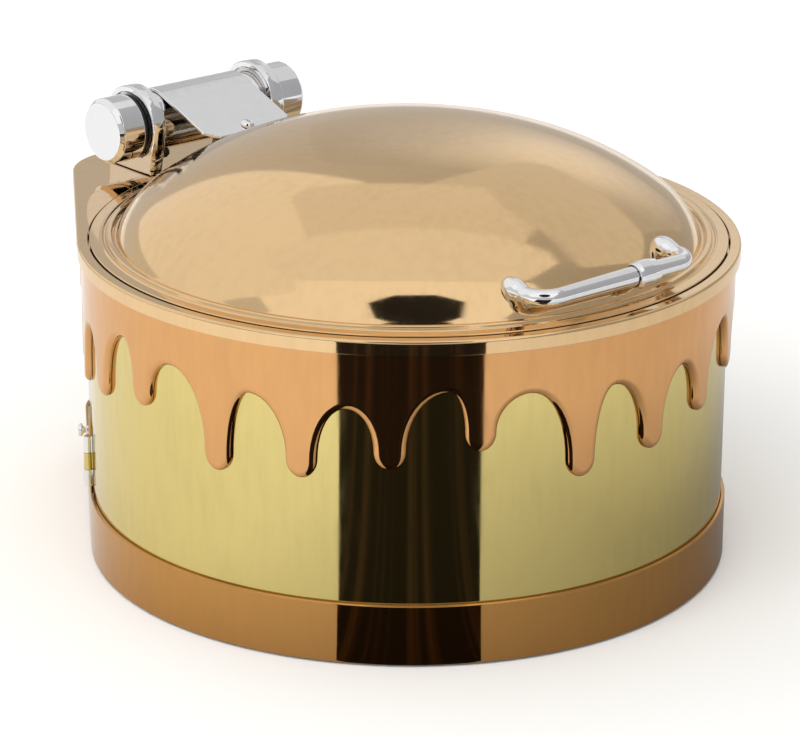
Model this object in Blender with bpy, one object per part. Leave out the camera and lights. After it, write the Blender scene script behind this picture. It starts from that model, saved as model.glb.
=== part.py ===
"""Round chafer with a lift-up domed lid on a damped tubular hinge.

Frame: metres, +Z up, origin on the floor under the centre of the round drum, front (handle) towards -Y,
rear housing with the hinge towards +Y, hinge tube along X.
"""
import math

import bmesh
import bpy
from mathutils import Matrix, Vector

# ---------------------------------------------------------------- driving dimensions (metres)
GAP = 0.0003              # clearance left between pieces that rest on each other

# body plan: a round drum whose two flanks run back to a rear housing with rounded corners
DRUM_R = 0.1975
FLANK = math.radians(34.7)   # direction of the flank's normal, from +X towards +Y
CORNER_R = 0.039
REAR_Y = 0.253
WALL = 0.0012

# heights
SKIRT_FOOT = 0.0015
SKIRT_TOP = 0.0389
DRUM_TOP = 0.1963
DRIP_TOP = 0.1940
RIM_LOW = 0.1945
DECK_TOP = 0.2034

# how far each outer layer stands out from the drum wall
SKIRT_OUT = 0.0025
DRIP_OUT = 0.0042
RIM_OUT = 0.0070

# drips of the skirt: one repeat holds four drips, (share of the repeat, height)
DRIP_REPEATS = 6
DRIP_PHASE = -0.0352
DRIP_TIPS = ((0.000, 0.1098), (0.245, 0.1148), (0.479, 0.1234), (0.715, 0.1337))
DRIP_ARCHES = ((0.100, 0.1620), (0.368, 0.1595), (0.631, 0.1706), (0.846, 0.1664))
TIP_HALF = 0.0092
TIP_DROP = 0.0110

# round opening, ledge and pans
OPENING_R = 0.1976
LEDGE_R = 0.1760
LEDGE_TOP = 0.1980
WATER_PAN = dict(flange=0.1900, wall=0.1755, floor=0.1080, rim=0.1983, sheet=0.0010, corner=0.018)
FOOD_PAN = dict(flange=0.1880, wall=0.1700, floor=0.1400, rim=0.1996, sheet=0.0010, corner=0.020)

# lid
DOME_Z = 0.2050
DOME_H = 0.0640
DOME_R = 0.1895
DOME_POWER = 2.677
DOME_TURN = 0.1600
DOME_EDGE = 0.1795
DOME_EDGE_Z = 0.2060
LID_SHEET = 0.0012
FLANGE_R = 0.1966
FLANGE_TOP = 0.2043

# hinge
HINGE_Y = 0.2158
HINGE_Z = 0.2327
TUBE_R = 0.0195
TUBE_HALF = 0.0525
CAP_R = 0.0215
CAP_IN = 0.0563
CAP_OUT = 0.0758
RING_R = 0.0203
CHEEK_IN = 0.0435
CHEEK_OUT = 0.0535
CHEEK_R = 0.0265
CHEEK_BORE = 0.0225
CHEEK_FOOT_Y = (0.1952, 0.2385)
AXLE_R = 0.0060
LEAF_TILT = math.radians(20.0)
LEAF_HALF = 0.0345
LEAF_LENGTH = 0.0565
LEAF_SHEET = 0.0020
SCREW_ALONG = 0.0508

# handle
HANDLE_SHIFT = 0.0020
HANDLE_FOOT = Vector((0.0600, -0.1600, 0.2206))
HANDLE_BEND = Vector((0.0605, -0.1850, 0.2192))
BAR_R = 0.0061
COLLAR_X = (0.0130, 0.0300)
COLLAR_R = 0.0083

# side door on the left flank, (start, end) measured back along the flank
DOOR_ALONG = (0.0035, 0.0545)
DOOR_Z = (0.0415, 0.0745)
DOOR_LAP = 0.0030
DOOR_PIN = (0.0015, 0.0032)

# floor and burner
FLOOR_Z = (0.0025, 0.0037)
BURNER_R = 0.040
BURNER_TOP = 0.0555
BURNER_PIN_Y = 0.0460

CYLINDER_STEPS = 20
ROUND_STEPS = 48


# ---------------------------------------------------------------- materials
def make_material(name, color, metallic, roughness):
    mat = bpy.data.materials.new(name)
    mat.use_nodes = True
    shader = mat.node_tree.nodes["Principled BSDF"]
    shader.inputs["Base Color"].default_value = (*color, 1.0)
    shader.inputs["Metallic"].default_value = metallic
    shader.inputs["Roughness"].default_value = roughness
    mat.diffuse_color = (*color, 1.0)
    return mat


FINISHES = {
    "pale_gold": ((0.72, 0.62, 0.30), 1.0, 0.10),
    "rose_gold": ((0.78, 0.46, 0.26), 1.0, 0.08),
    "chrome": ((0.80, 0.80, 0.80), 1.0, 0.06),
    "steel": ((0.62, 0.61, 0.58), 1.0, 0.25),
    "black": ((0.02, 0.02, 0.02), 0.0, 0.45),
    "rubber": ((0.03, 0.03, 0.03), 0.0, 0.70),
}


# ---------------------------------------------------------------- mesh helpers
def finish(name, bm, finish_name, smooth_angle=35.0):
    """Turn a bmesh into a named object with outward normals and its material."""
    bmesh.ops.remove_doubles(bm, verts=bm.verts, dist=1e-6)
    bmesh.ops.recalc_face_normals(bm, faces=bm.faces)
    mesh = bpy.data.meshes.new(name)
    bm.to_mesh(mesh)
    bm.free()
    mesh.shade_smooth()
    mesh.set_sharp_from_angle(angle=math.radians(smooth_angle))
    obj = bpy.data.objects.new(name, mesh)
    bpy.context.scene.collection.objects.link(obj)
    if finish_name:
        mesh.materials.append(MATERIALS[finish_name])
    return obj


def loft(rings, closed):
    """Skin a list of equally long vertex rings; a closed loft joins the last ring to the first."""
    bm = bmesh.new()
    rows = [[bm.verts.new(point) for point in ring] for ring in rings]
    count = len(rings[0])
    pairs = list(zip(rows, rows[1:]))
    if closed:
        pairs.append((rows[-1], rows[0]))
    else:
        bm.faces.new(rows[0])
        bm.faces.new(rows[-1])
    for low, high in pairs:
        for i in range(count):
            j = (i + 1) % count
            bm.faces.new((low[i], low[j], high[j], high[i]))
    return bm


def turned(profile, steps, axis="Z", centre=(0.0, 0.0, 0.0)):
    """Turn a closed (radius, height) profile about an axis; radius 0 makes a pole."""
    bm = bmesh.new()
    place = {"Z": lambda r, h, c, s: Vector((r * c, r * s, h)),
             "X": lambda r, h, c, s: Vector((h, r * c, r * s))}[axis]
    angles = [2.0 * math.pi * k / steps for k in range(steps)]
    rows = []
    for radius, height in profile:
        if radius < 1e-9:
            rows.append([bm.verts.new(place(0.0, height, 1.0, 0.0) + Vector(centre))])
        else:
            rows.append([bm.verts.new(place(radius, height, math.cos(a), math.sin(a)) + Vector(centre))
                         for a in angles])
    for low, high in zip(rows, rows[1:] + rows[:1]):
        if len(low) == 1 and len(high) == 1:
            continue
        for i in range(steps):
            j = (i + 1) % steps
            corners = [low[i % len(low)], low[j % len(low)], high[j % len(high)], high[i % len(high)]]
            unique = list(dict.fromkeys(corners))
            bm.faces.new(unique)
    return bm


def rod(start, end, radius, steps=CYLINDER_STEPS):
    """Solid cylinder between two points."""
    start = Vector(start)
    along = Vector(end) - start
    turn = along.to_track_quat("Z", "Y").to_matrix().to_4x4()
    bm = bmesh.new()
    bmesh.ops.create_cone(bm, cap_ends=True, segments=steps, radius1=radius, radius2=radius, depth=along.length,
                          matrix=Matrix.Translation(start + along / 2.0) @ turn)
    return bm


def block(low, high):
    """Axis-aligned box between two corners."""
    size = Vector(high) - Vector(low)
    middle = (Vector(high) + Vector(low)) / 2.0
    bm = bmesh.new()
    bmesh.ops.create_cube(bm, size=1.0, matrix=Matrix.Translation(middle) @ Matrix.Diagonal((*size, 1.0)))
    return bm


def swept(path, radii, sides):
    """Round section carried along a path with its own radius at each point."""
    rings = []
    side = None
    for i, point in enumerate(path):
        ahead = path[min(i + 1, len(path) - 1)]
        behind = path[max(i - 1, 0)]
        along = (ahead - behind).normalized()
        if side is None:
            side = along.orthogonal()
        side = (side - along * side.dot(along)).normalized()
        other = along.cross(side)
        rings.append([point + radii[i] * (math.cos(a) * side + math.sin(a) * other)
                      for a in (2.0 * math.pi * k / sides for k in range(sides))])
    return loft(rings, closed=False)


def combine(target, tool, operation):
    """Boolean the tool into the target, bake the result and remove the tool."""
    modifier = target.modifiers.new(operation, "BOOLEAN")
    modifier.operation = operation
    modifier.object = tool
    bpy.context.view_layer.update()
    graph = bpy.context.evaluated_depsgraph_get()
    baked = bpy.data.meshes.new_from_object(target.evaluated_get(graph))
    target.modifiers.clear()
    target.data = baked
    bpy.data.objects.remove(tool)
    return target


def cut(target, bm):
    return combine(target, finish("tool", bm, None), "DIFFERENCE")


def join(target, bm):
    return combine(target, finish("tool", bm, None), "UNION")


# ---------------------------------------------------------------- body plan
CORNER_Y = REAR_Y - CORNER_R
CORNER_X = (DRUM_R - CORNER_R - math.sin(FLANK) * CORNER_Y) / math.cos(FLANK)
ARC_LENGTH = DRUM_R * (FLANK + math.pi / 2.0)
FLANK_LENGTH = abs(CORNER_X * math.sin(FLANK) - CORNER_Y * math.cos(FLANK))
CORNER_LENGTH = CORNER_R * (math.pi / 2.0 - FLANK)
HALF_LENGTH = ARC_LENGTH + FLANK_LENGTH + CORNER_LENGTH + CORNER_X


def plan_frame(s):
    """Point and outward normal of the drum wall, s metres along it from the front centre, towards +X first."""
    s = (s + HALF_LENGTH) % (2.0 * HALF_LENGTH) - HALF_LENGTH
    side = 1.0 if s >= 0.0 else -1.0
    t = abs(s)
    if t <= ARC_LENGTH:
        angle = -math.pi / 2.0 + t / DRUM_R
        normal = Vector((math.cos(angle), math.sin(angle), 0.0))
        point = normal * DRUM_R
    elif t <= ARC_LENGTH + FLANK_LENGTH:
        normal = Vector((math.cos(FLANK), math.sin(FLANK), 0.0))
        point = normal * DRUM_R + (t - ARC_LENGTH) * Vector((-normal.y, normal.x, 0.0))
    elif t <= ARC_LENGTH + FLANK_LENGTH + CORNER_LENGTH:
        angle = FLANK + (t - ARC_LENGTH - FLANK_LENGTH) / CORNER_R
        normal = Vector((math.cos(angle), math.sin(angle), 0.0))
        point = Vector((CORNER_X, CORNER_Y, 0.0)) + normal * CORNER_R
    else:
        normal = Vector((0.0, 1.0, 0.0))
        point = Vector((HALF_LENGTH - t, REAR_Y, 0.0))
    point.x *= side
    return point, Vector((normal.x * side, normal.y, 0.0))


def flank_point(along, out, z):
    """Point on the left flank: metres back along it, out from the drum wall, and up."""
    point, normal = plan_frame(-ARC_LENGTH)
    back = Vector((normal.y, -normal.x, 0.0))
    return point + back * along + normal * out + Vector((0.0, 0.0, z))


def flank_block(along, out, z):
    """Box lined up with the left flank."""
    ring = [(along[0], out[0]), (along[1], out[0]), (along[1], out[1]), (along[0], out[1])]
    return loft([[flank_point(a, o, height) for a, o in ring] for height in z], closed=False)


def plan_stations():
    """Where along the wall the plan is sampled: evenly in each of its stretches."""
    half = []
    start = 0.0
    for length, parts in ((ARC_LENGTH, 22), (FLANK_LENGTH, 4), (CORNER_LENGTH, 5), (CORNER_X, 2)):
        half += [start + length * k / parts for k in range(parts)]
        start += length
    return half + [HALF_LENGTH] + [-s for s in reversed(half[1:])]


STATIONS = plan_stations()


def plan_ring(grow, z):
    """The wall's outline grown by a distance, at height z."""
    ring = []
    for s in STATIONS:
        point, normal = plan_frame(s)
        ring.append(point + normal * grow + Vector((0.0, 0.0, z)))
    return ring


def circle_ring(radius, z):
    """Circle whose points face the plan's own points."""
    ring = []
    for s in STATIONS:
        point, _ = plan_frame(s)
        ring.append(point.normalized() * radius + Vector((0.0, 0.0, z)))
    return ring


# ---------------------------------------------------------------- body pieces
def make_drum_shell():
    rings = [plan_ring(grow, z) for grow, z in
             ((0.0, 0.0020), (0.0, DRUM_TOP), (-WALL, DRUM_TOP), (-WALL, 0.0020))]
    shell = finish("drum_shell", loft(rings, closed=True), "pale_gold")
    start, end = DOOR_ALONG
    low, high = DOOR_Z
    cut(shell, flank_block((start + DOOR_LAP, end - DOOR_LAP), (-0.01, 0.01), (low + DOOR_LAP, high - DOOR_LAP)))


def make_base_skirt():
    profile = ((SKIRT_OUT, SKIRT_FOOT), (SKIRT_OUT, SKIRT_TOP - 0.0050), (SKIRT_OUT - 0.0004, SKIRT_TOP - 0.0023),
               (SKIRT_OUT - 0.0012, SKIRT_TOP - 0.0006), (GAP, SKIRT_TOP), (GAP, SKIRT_FOOT))
    finish("base_skirt", loft([plan_ring(grow, z) for grow, z in profile], closed=True), "rose_gold")


def drip_edge():
    """Lower edge of the drip skirt as (distance along the wall, height): round tips and tall elliptical arches."""
    period = 2.0 * HALF_LENGTH / DRIP_REPEATS
    turns = []
    for repeat in range(DRIP_REPEATS):
        for tip, arch in zip(DRIP_TIPS, DRIP_ARCHES):
            turns.append((DRIP_PHASE + (repeat + tip[0]) * period, tip[1], "tip"))
            turns.append((DRIP_PHASE + (repeat + arch[0]) * period, arch[1], "arch"))
    first = turns[0]
    turns.append((first[0] + 2.0 * HALF_LENGTH, first[1], "tip"))
    edge = []
    for here, there in zip(turns, turns[1:]):
        tip, arch = (here, there) if here[2] == "tip" else (there, here)
        towards = 1.0 if arch[0] > tip[0] else -1.0
        reach = abs(arch[0] - tip[0]) - TIP_HALF
        rise = arch[1] - tip[1] - TIP_DROP
        stretch = [(tip[0] + towards * TIP_HALF * math.sin(a), tip[1] + TIP_DROP * (1.0 - math.cos(a)))
                   for a in (math.pi / 2.0 * k / 3 for k in range(4))]
        stretch += [(arch[0] - towards * reach * math.sin(a), arch[1] - rise * (1.0 - math.cos(a)))
                    for a in (math.pi / 2.0 * k / 4 for k in range(3, -1, -1))]
        if here is arch:
            stretch.reverse()
        edge += stretch[:-1]
    return edge


def make_drip_skirt():
    inner_low, inner_top, outer_low, outer_top = [], [], [], []
    for s, z in drip_edge():
        point, normal = plan_frame(s)
        inner = point + normal * GAP
        outer = point + normal * DRIP_OUT
        inner_low.append(inner + Vector((0.0, 0.0, z)))
        inner_top.append(inner + Vector((0.0, 0.0, DRIP_TOP)))
        outer_low.append(outer + Vector((0.0, 0.0, z)))
        outer_top.append(outer + Vector((0.0, 0.0, DRIP_TOP)))
    finish("drip_skirt", loft([outer_low, outer_top, inner_top, inner_low], closed=True), "rose_gold")


def make_top_deck():
    """Top plate: turned-down rim, flat deck, round opening with a sunk ledge for the pans."""
    rings = [plan_ring(RIM_OUT, RIM_LOW), plan_ring(RIM_OUT, DECK_TOP - 0.0026),
             plan_ring(RIM_OUT - 0.0008, DECK_TOP - 0.0008), plan_ring(RIM_OUT - 0.0025, DECK_TOP),
             circle_ring(OPENING_R, DECK_TOP), circle_ring(OPENING_R, LEDGE_TOP),
             circle_ring(LEDGE_R, LEDGE_TOP), circle_ring(LEDGE_R, LEDGE_TOP - WALL),
             circle_ring(OPENING_R + WALL, LEDGE_TOP - WALL), circle_ring(OPENING_R + WALL, DECK_TOP - 0.0014),
             plan_ring(RIM_OUT - 0.0025, DECK_TOP - 0.0014), plan_ring(RIM_OUT - WALL, DECK_TOP - 0.0024),
             plan_ring(RIM_OUT - WALL, RIM_LOW)]
    finish("top_deck", loft(rings, closed=True), "rose_gold")


def make_floor_plate():
    rings = [plan_ring(-WALL - GAP, z) for z in FLOOR_Z]
    finish("floor_plate", loft(rings, closed=False), "steel")


def make_feet():
    places = {"centre": (0.0, 0.0), "front_left": (-0.125, -0.105), "front_right": (0.125, -0.105),
              "rear_left": (-0.075, 0.195), "rear_right": (0.075, 0.195)}
    profile = ((0.0, 0.0), (0.0105, 0.0), (0.0125, 0.0012), (0.0125, FLOOR_Z[0] - GAP), (0.0, FLOOR_Z[0] - GAP))
    for where, (x, y) in places.items():
        finish("foot_" + where, turned(profile, 20, centre=(x, y, 0.0)), "rubber")


def pan_profile(pan):
    """Section of a flanged round pan, outside then inside, with a rounded floor corner."""
    sheet = pan["sheet"]
    corner = pan["corner"]
    wall = pan["wall"]
    floor = pan["floor"]
    bend = [math.pi / 2.0 * k / 3 for k in range(4)]
    outside = [(wall - corner + corner * math.sin(a), floor + corner - corner * math.cos(a)) for a in bend]
    inner = corner - sheet
    inside = [(wall - corner + inner * math.sin(a), floor + corner - inner * math.cos(a)) for a in bend]
    rim = pan["rim"]
    lip = [(wall, rim), (pan["flange"], rim), (pan["flange"], rim + sheet), (wall - sheet, rim + sheet)]
    return [(0.0, floor)] + outside + lip + inside[::-1] + [(0.0, floor + sheet)]


def make_pans():
    finish("water_pan", turned(pan_profile(WATER_PAN), 40), "steel")
    finish("food_pan", turned(pan_profile(FOOD_PAN), 40), "steel")


def make_lid_seal():
    profile = ((0.1915, LEDGE_TOP + GAP), (0.1960, LEDGE_TOP + GAP), (0.1960, 0.2008), (0.1948, 0.2022),
               (0.1927, 0.2022), (0.1915, 0.2008))
    finish("lid_seal", turned(profile, ROUND_STEPS), "rubber")


# ---------------------------------------------------------------- lid
def crown_height(radius):
    return DOME_Z + DOME_H * (1.0 - (radius / DOME_R) ** DOME_POWER)


# the crown follows a power law out to DOME_TURN, then one arc that leaves it tangentially and ends at the edge
TURN_Z = crown_height(DOME_TURN)
TURN_ANGLE = math.atan(DOME_H * DOME_POWER / DOME_R * (DOME_TURN / DOME_R) ** (DOME_POWER - 1.0))
EDGE_ANGLE = 2.0 * math.atan2(TURN_Z - DOME_EDGE_Z, DOME_EDGE - DOME_TURN) - TURN_ANGLE
SHOULDER_R = (DOME_EDGE - DOME_TURN) / (math.sin(EDGE_ANGLE) - math.sin(TURN_ANGLE))


def shoulder_angle(radius):
    return math.asin(math.sin(TURN_ANGLE) + (radius - DOME_TURN) / SHOULDER_R)


def dome_height(radius):
    if radius <= DOME_TURN:
        return crown_height(radius)
    return TURN_Z - SHOULDER_R * (math.cos(TURN_ANGLE) - math.cos(shoulder_angle(radius)))


def dome_slope(radius):
    """Fall of the dome's surface per metre outwards."""
    if radius <= DOME_TURN:
        return DOME_H * DOME_POWER / DOME_R * (radius / DOME_R) ** (DOME_POWER - 1.0)
    return math.tan(shoulder_angle(radius))


def dome_frame(x, y):
    """Point and outward normal on the dome's outer face."""
    radius = math.hypot(x, y)
    slope = dome_slope(radius)
    normal = Vector((x / radius * slope, y / radius * slope, 1.0)).normalized()
    return Vector((x, y, dome_height(radius))), normal


def lid_outside():
    """Outer section from the crown to the flange's edge: dome, groove, bead and flat flange."""
    radii = [DOME_TURN * math.sin(math.pi / 2.0 * k / 8) for k in range(9)]
    radii += [DOME_TURN + (DOME_EDGE - DOME_TURN) * share for share in (0.24, 0.45, 0.64, 0.80, 0.91, 1.0)]
    dome = [(radius, dome_height(radius)) for radius in radii]
    bead = [(DOME_EDGE + 0.0009, 0.2047), (DOME_EDGE + 0.0020, 0.2045), (DOME_EDGE + 0.0033, 0.2056),
            (DOME_EDGE + 0.0053, 0.2062), (DOME_EDGE + 0.0070, 0.2056), (DOME_EDGE + 0.0079, 0.2044),
            (DOME_EDGE + 0.0088, FLANGE_TOP)]
    return dome + bead + [(FLANGE_R - 0.0004, FLANGE_TOP), (FLANGE_R, FLANGE_TOP - 0.0004)]


def lid_inside():
    """Inner section from the flange's edge back to the crown, one sheet thickness in."""
    steps = 7
    edge = [(FLANGE_R, FLANGE_TOP - 0.0014), (FLANGE_R - 0.0006, FLANGE_TOP - 0.0017),
            (DOME_EDGE + 0.0002, FLANGE_TOP - 0.0017), (DOME_EDGE - 0.0011, 0.2046)]
    radii = [DOME_EDGE - 0.0010, DOME_EDGE - 0.0045, DOME_EDGE - 0.0095, DOME_EDGE - 0.0150]
    radii += [DOME_TURN * math.sin(math.pi / 2.0 * k / steps) for k in range(steps, -1, -1)]
    dome = []
    for radius in radii:
        slope = dome_slope(radius)
        length = math.hypot(1.0, slope)
        dome.append((max(radius - LID_SHEET * slope / length, 0.0), dome_height(radius) - LID_SHEET / length))
    dome[-1] = (0.0, dome[-1][1])
    return edge + dome


def lid_blank(grow):
    """Solid plug with the lid's outer shape grown a little, for trimming what rests on the lid."""
    outside = [(radius + grow * min(radius / 0.02, 1.0), z + grow) for radius, z in lid_outside()]
    return turned(outside + [(outside[-1][0], 0.2000), (0.0, 0.2000)], ROUND_STEPS)


def lid_screw_places():
    """Points and directions of the screws that come up through the dome: two for the handle, two for the leaf."""
    return {"handle_screw_left": dome_frame(HANDLE_SHIFT - HANDLE_FOOT.x, HANDLE_FOOT.y),
            "handle_screw_right": dome_frame(HANDLE_SHIFT + HANDLE_FOOT.x, HANDLE_FOOT.y),
            "block_screw_left": dome_frame(-0.0110, 0.1640),
            "block_screw_right": dome_frame(0.0110, 0.1640)}


SCREW_R = 0.0020
SCREW_REACH = 0.0045
BLIND_REACH = 0.0052


def make_lid_shell():
    lid = finish("lid_shell", turned(lid_outside() + lid_inside(), ROUND_STEPS), "rose_gold", 50.0)
    for point, normal in lid_screw_places().values():
        cut(lid, rod(point - normal * 0.006, point + normal * 0.004, SCREW_R + GAP, 12))


def make_lid_screws():
    for name, (point, normal) in lid_screw_places().items():
        head = point - normal * (LID_SHEET + 0.0008)
        screw = finish(name, rod(head, point + normal * SCREW_REACH, SCREW_R, 12), "steel")
        join(screw, rod(head - normal * 0.0024, head + normal * 0.0001, 0.0040, 12))


# ---------------------------------------------------------------- handle
def arm_path(side, end_x):
    """Centre line and radii of one handle arm: bulb foot on the dome, curve out and along the bar to end_x."""
    foot = Vector((HANDLE_FOOT.x * side + HANDLE_SHIFT, HANDLE_FOOT.y, HANDLE_FOOT.z))
    bend = Vector((HANDLE_BEND.x * side + HANDLE_SHIFT, HANDLE_BEND.y, HANDLE_BEND.z))
    corner = 0.014
    path = [foot + Vector((0.0, y, 0.1 * y)) for y in (0.0090, 0.0072, 0.0035, 0.0, -0.0045, -0.0085)]
    radii = [0.0018, 0.0046, 0.0064, 0.0068, 0.0062, 0.0055]
    turn = Vector((bend.x - corner * side, bend.y + corner, bend.z))
    for k in range(7):
        angle = math.pi / 2.0 * k / 6
        path.append(turn + Vector((corner * side * math.cos(angle), -corner * math.sin(angle), 0.0)))
        radii.append(0.0050 + 0.0003 * k / 6)
    path.append(Vector((end_x, bend.y, bend.z)))
    radii.append(BAR_R)
    return path, radii


def make_handle():
    middle = sum(COLLAR_X) / 2.0
    for name, side, end_x in (("handle_arm_left", -1.0, middle - GAP), ("handle_arm_right", 1.0, middle + GAP)):
        path, radii = arm_path(side, end_x)
        arm = finish(name, swept(path, radii, 14), "chrome")
        cut(arm, lid_blank(GAP))
        point, normal = dome_frame(HANDLE_FOOT.x * side + HANDLE_SHIFT, HANDLE_FOOT.y)
        cut(arm, rod(point - normal * 0.004, point + normal * BLIND_REACH, SCREW_R + GAP, 12))
    low, high = COLLAR_X
    bore = BAR_R + GAP
    profile = ((bore, low), (0.0072, low), (0.0080, low + 0.0016), (COLLAR_R, low + 0.0060),
               (0.0081, low + 0.0120), (0.0074, high), (bore, high))
    centre = (0.0, HANDLE_BEND.y, HANDLE_BEND.z)
    finish("handle_collar", turned(profile, 20, axis="X", centre=centre), "chrome")


# ---------------------------------------------------------------- hinge
HINGE = (0.0, HINGE_Y, HINGE_Z)


def mirror_x(profile, side):
    return [(radius, x * side) for radius, x in profile]


def make_hinge_cheeks():
    for name, side in (("hinge_cheek_left", -1.0), ("hinge_cheek_right", 1.0)):
        inner, outer = CHEEK_IN * side, CHEEK_OUT * side
        foot = DECK_TOP + GAP
        outline = [(CHEEK_FOOT_Y[1], foot), (HINGE_Y + CHEEK_R, HINGE_Z)]
        outline += [(HINGE_Y + CHEEK_R * math.cos(a), HINGE_Z + CHEEK_R * math.sin(a))
                    for a in (math.pi * k / 16 for k in range(1, 17))]
        outline += [(CHEEK_FOOT_Y[0], foot)]
        rings = [[Vector((x, y, z)) for y, z in outline] for x in (inner, outer)]
        cheek = finish(name, loft(rings, closed=False), "chrome")
        cut(cheek, rod((inner - 0.01 * side, HINGE_Y, HINGE_Z), (outer + 0.01 * side, HINGE_Y, HINGE_Z),
                       CHEEK_BORE, 32))


def make_hinge_caps():
    cap = [(0.0, CAP_OUT), (0.0176, CAP_OUT), (0.0198, CAP_OUT - 0.0008), (0.0211, CAP_OUT - 0.0026),
           (CAP_R, CAP_OUT - 0.0050), (CAP_R, CAP_IN + 0.0008), (CAP_R - 0.0008, CAP_IN),
           (AXLE_R + GAP, CAP_IN), (AXLE_R + GAP, CAP_OUT - 0.0018), (0.0, CAP_OUT - 0.0018)]
    ring = [(AXLE_R + GAP, CHEEK_OUT + GAP), (RING_R, CHEEK_OUT + GAP), (RING_R, CAP_IN - GAP),
            (AXLE_R + GAP, CAP_IN - GAP)]
    bush = [(TUBE_R + GAP, CHEEK_IN + 0.0005), (CHEEK_BORE - GAP, CHEEK_IN + 0.0005),
            (CHEEK_BORE - GAP, CHEEK_OUT - 0.0002), (TUBE_R + GAP, CHEEK_OUT - 0.0002)]
    for word, side in (("left", -1.0), ("right", 1.0)):
        finish("hinge_cap_" + word, turned(mirror_x(cap, side), 32, "X", HINGE), "chrome")
        finish("cap_ring_" + word, turned(mirror_x(ring, side), 28, "X", HINGE), "black")
        finish("hinge_bush_" + word, turned(mirror_x(bush, side), 32, "X", HINGE), "steel")


def make_hinge_tube():
    profile = [(TUBE_R, -TUBE_HALF), (TUBE_R, TUBE_HALF), (TUBE_R - 0.003, TUBE_HALF), (TUBE_R - 0.003, -TUBE_HALF)]
    finish("hinge_tube", turned(profile, 32, "X", HINGE), "chrome")
    reach = CAP_OUT - 0.0022
    finish("hinge_axle", rod((-reach, HINGE_Y, HINGE_Z), (reach, HINGE_Y, HINGE_Z), AXLE_R, 20), "steel")


def make_damper_core():
    """Friction sleeve clamped on the axle inside the tube."""
    bore, outer, half = AXLE_R + GAP, TUBE_R - 0.003 - GAP, 0.036
    core = [(bore, -half), (outer, -half), (outer, half), (bore, half)]
    finish("damper_core", turned(core, 24, "X", HINGE), "rubber")


def leaf_frame(along, above):
    """Point in the hinge's middle plane: along the leaf towards its front edge, above its underside."""
    base = Vector((0.0, HINGE_Y, HINGE_Z))
    down = Vector((0.0, -math.cos(LEAF_TILT), -math.sin(LEAF_TILT)))
    up = Vector((0.0, -math.sin(LEAF_TILT), math.cos(LEAF_TILT)))
    return base + up * (TUBE_R + GAP + above) + down * along


def make_hinge_leaf():
    """Plate that lies on the tube, wraps a little way round behind it and reaches down to the dome."""
    rings = []
    for k in range(6):
        angle = math.pi / 2.0 - LEAF_TILT * -1.0 - math.radians(60.0 - 12.0 * k)
        reach = Vector((0.0, math.cos(angle), math.sin(angle)))
        low = Vector(HINGE) + reach * (TUBE_R + GAP)
        high = low + reach * LEAF_SHEET
        rings.append((low, high, LEAF_HALF))
    for along, half in ((0.004, LEAF_HALF), (LEAF_LENGTH - 0.0075, LEAF_HALF), (LEAF_LENGTH, LEAF_HALF - 0.0085)):
        rings.append((leaf_frame(along, 0.0), leaf_frame(along, LEAF_SHEET), half))
    sections = []
    for low, high, half in rings:
        across = Vector((half, 0.0, 0.0))
        sections.append([low - across, low + across, high + across, high - across])
    leaf = finish("hinge_leaf", loft(sections, closed=False), "chrome")
    cut(leaf, rod(leaf_frame(SCREW_ALONG, -0.004), leaf_frame(SCREW_ALONG, 0.006), SCREW_R + GAP, 12))


def make_leaf_block():
    """Wedge between the leaf's underside and the dome, trimmed to the dome."""
    half = 0.0170
    near, far = 0.0400, 0.0545
    corners = [leaf_frame(near, -GAP), leaf_frame(far, -GAP), leaf_frame(far, -0.020), leaf_frame(near, -0.034)]
    rings = [[corner + Vector((x, 0.0, 0.0)) for corner in corners] for x in (-half, half)]
    wedge = finish("leaf_block", loft(rings, closed=False), "steel")
    cut(wedge, lid_blank(GAP))
    cut(wedge, rod(leaf_frame(SCREW_ALONG, -0.0052), leaf_frame(SCREW_ALONG, 0.004), SCREW_R + GAP, 12))
    for name, (point, normal) in lid_screw_places().items():
        if name.startswith("block"):
            cut(wedge, rod(point - normal * 0.004, point + normal * BLIND_REACH, SCREW_R + GAP, 12))


def make_leaf_screw():
    top = leaf_frame(SCREW_ALONG, LEAF_SHEET + GAP)
    up = (leaf_frame(0.0, 1.0) - leaf_frame(0.0, 0.0)).normalized()
    profile = ((0.0, 0.0), (0.0046, 0.0), (0.0044, 0.0012), (0.0034, 0.0024), (0.0018, 0.0030), (0.0, 0.0032))
    head = turned(profile, 16)
    head.transform(Matrix.Translation(top) @ up.to_track_quat("Z", "Y").to_matrix().to_4x4())
    screw = finish("leaf_screw", head, "chrome")
    join(screw, rod(leaf_frame(SCREW_ALONG, -0.0044), top + up * 0.0005, SCREW_R, 12))


def make_stop_screws():
    """Black dome-headed screws on the inner faces of the cheeks, near their front edges."""
    profile = [(0.0, 0.0), (0.0022, 0.0), (0.0022, 0.0022), (0.0036, 0.0026), (0.0036, 0.0048), (0.0024, 0.0066),
               (0.0, 0.0070)]
    for word, side in (("left", -1.0), ("right", 1.0)):
        start = (CHEEK_IN - GAP) * side
        placed = [(radius, start - height * side) for radius, height in profile]
        finish("stop_screw_" + word, turned(placed, 14, "X", (0.0, 0.1985, 0.2165)), "black")


# ---------------------------------------------------------------- side door and burner
def door_pin(low, high, radius):
    return rod(flank_point(*DOOR_PIN, low), flank_point(*DOOR_PIN, high), radius, 12)


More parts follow.
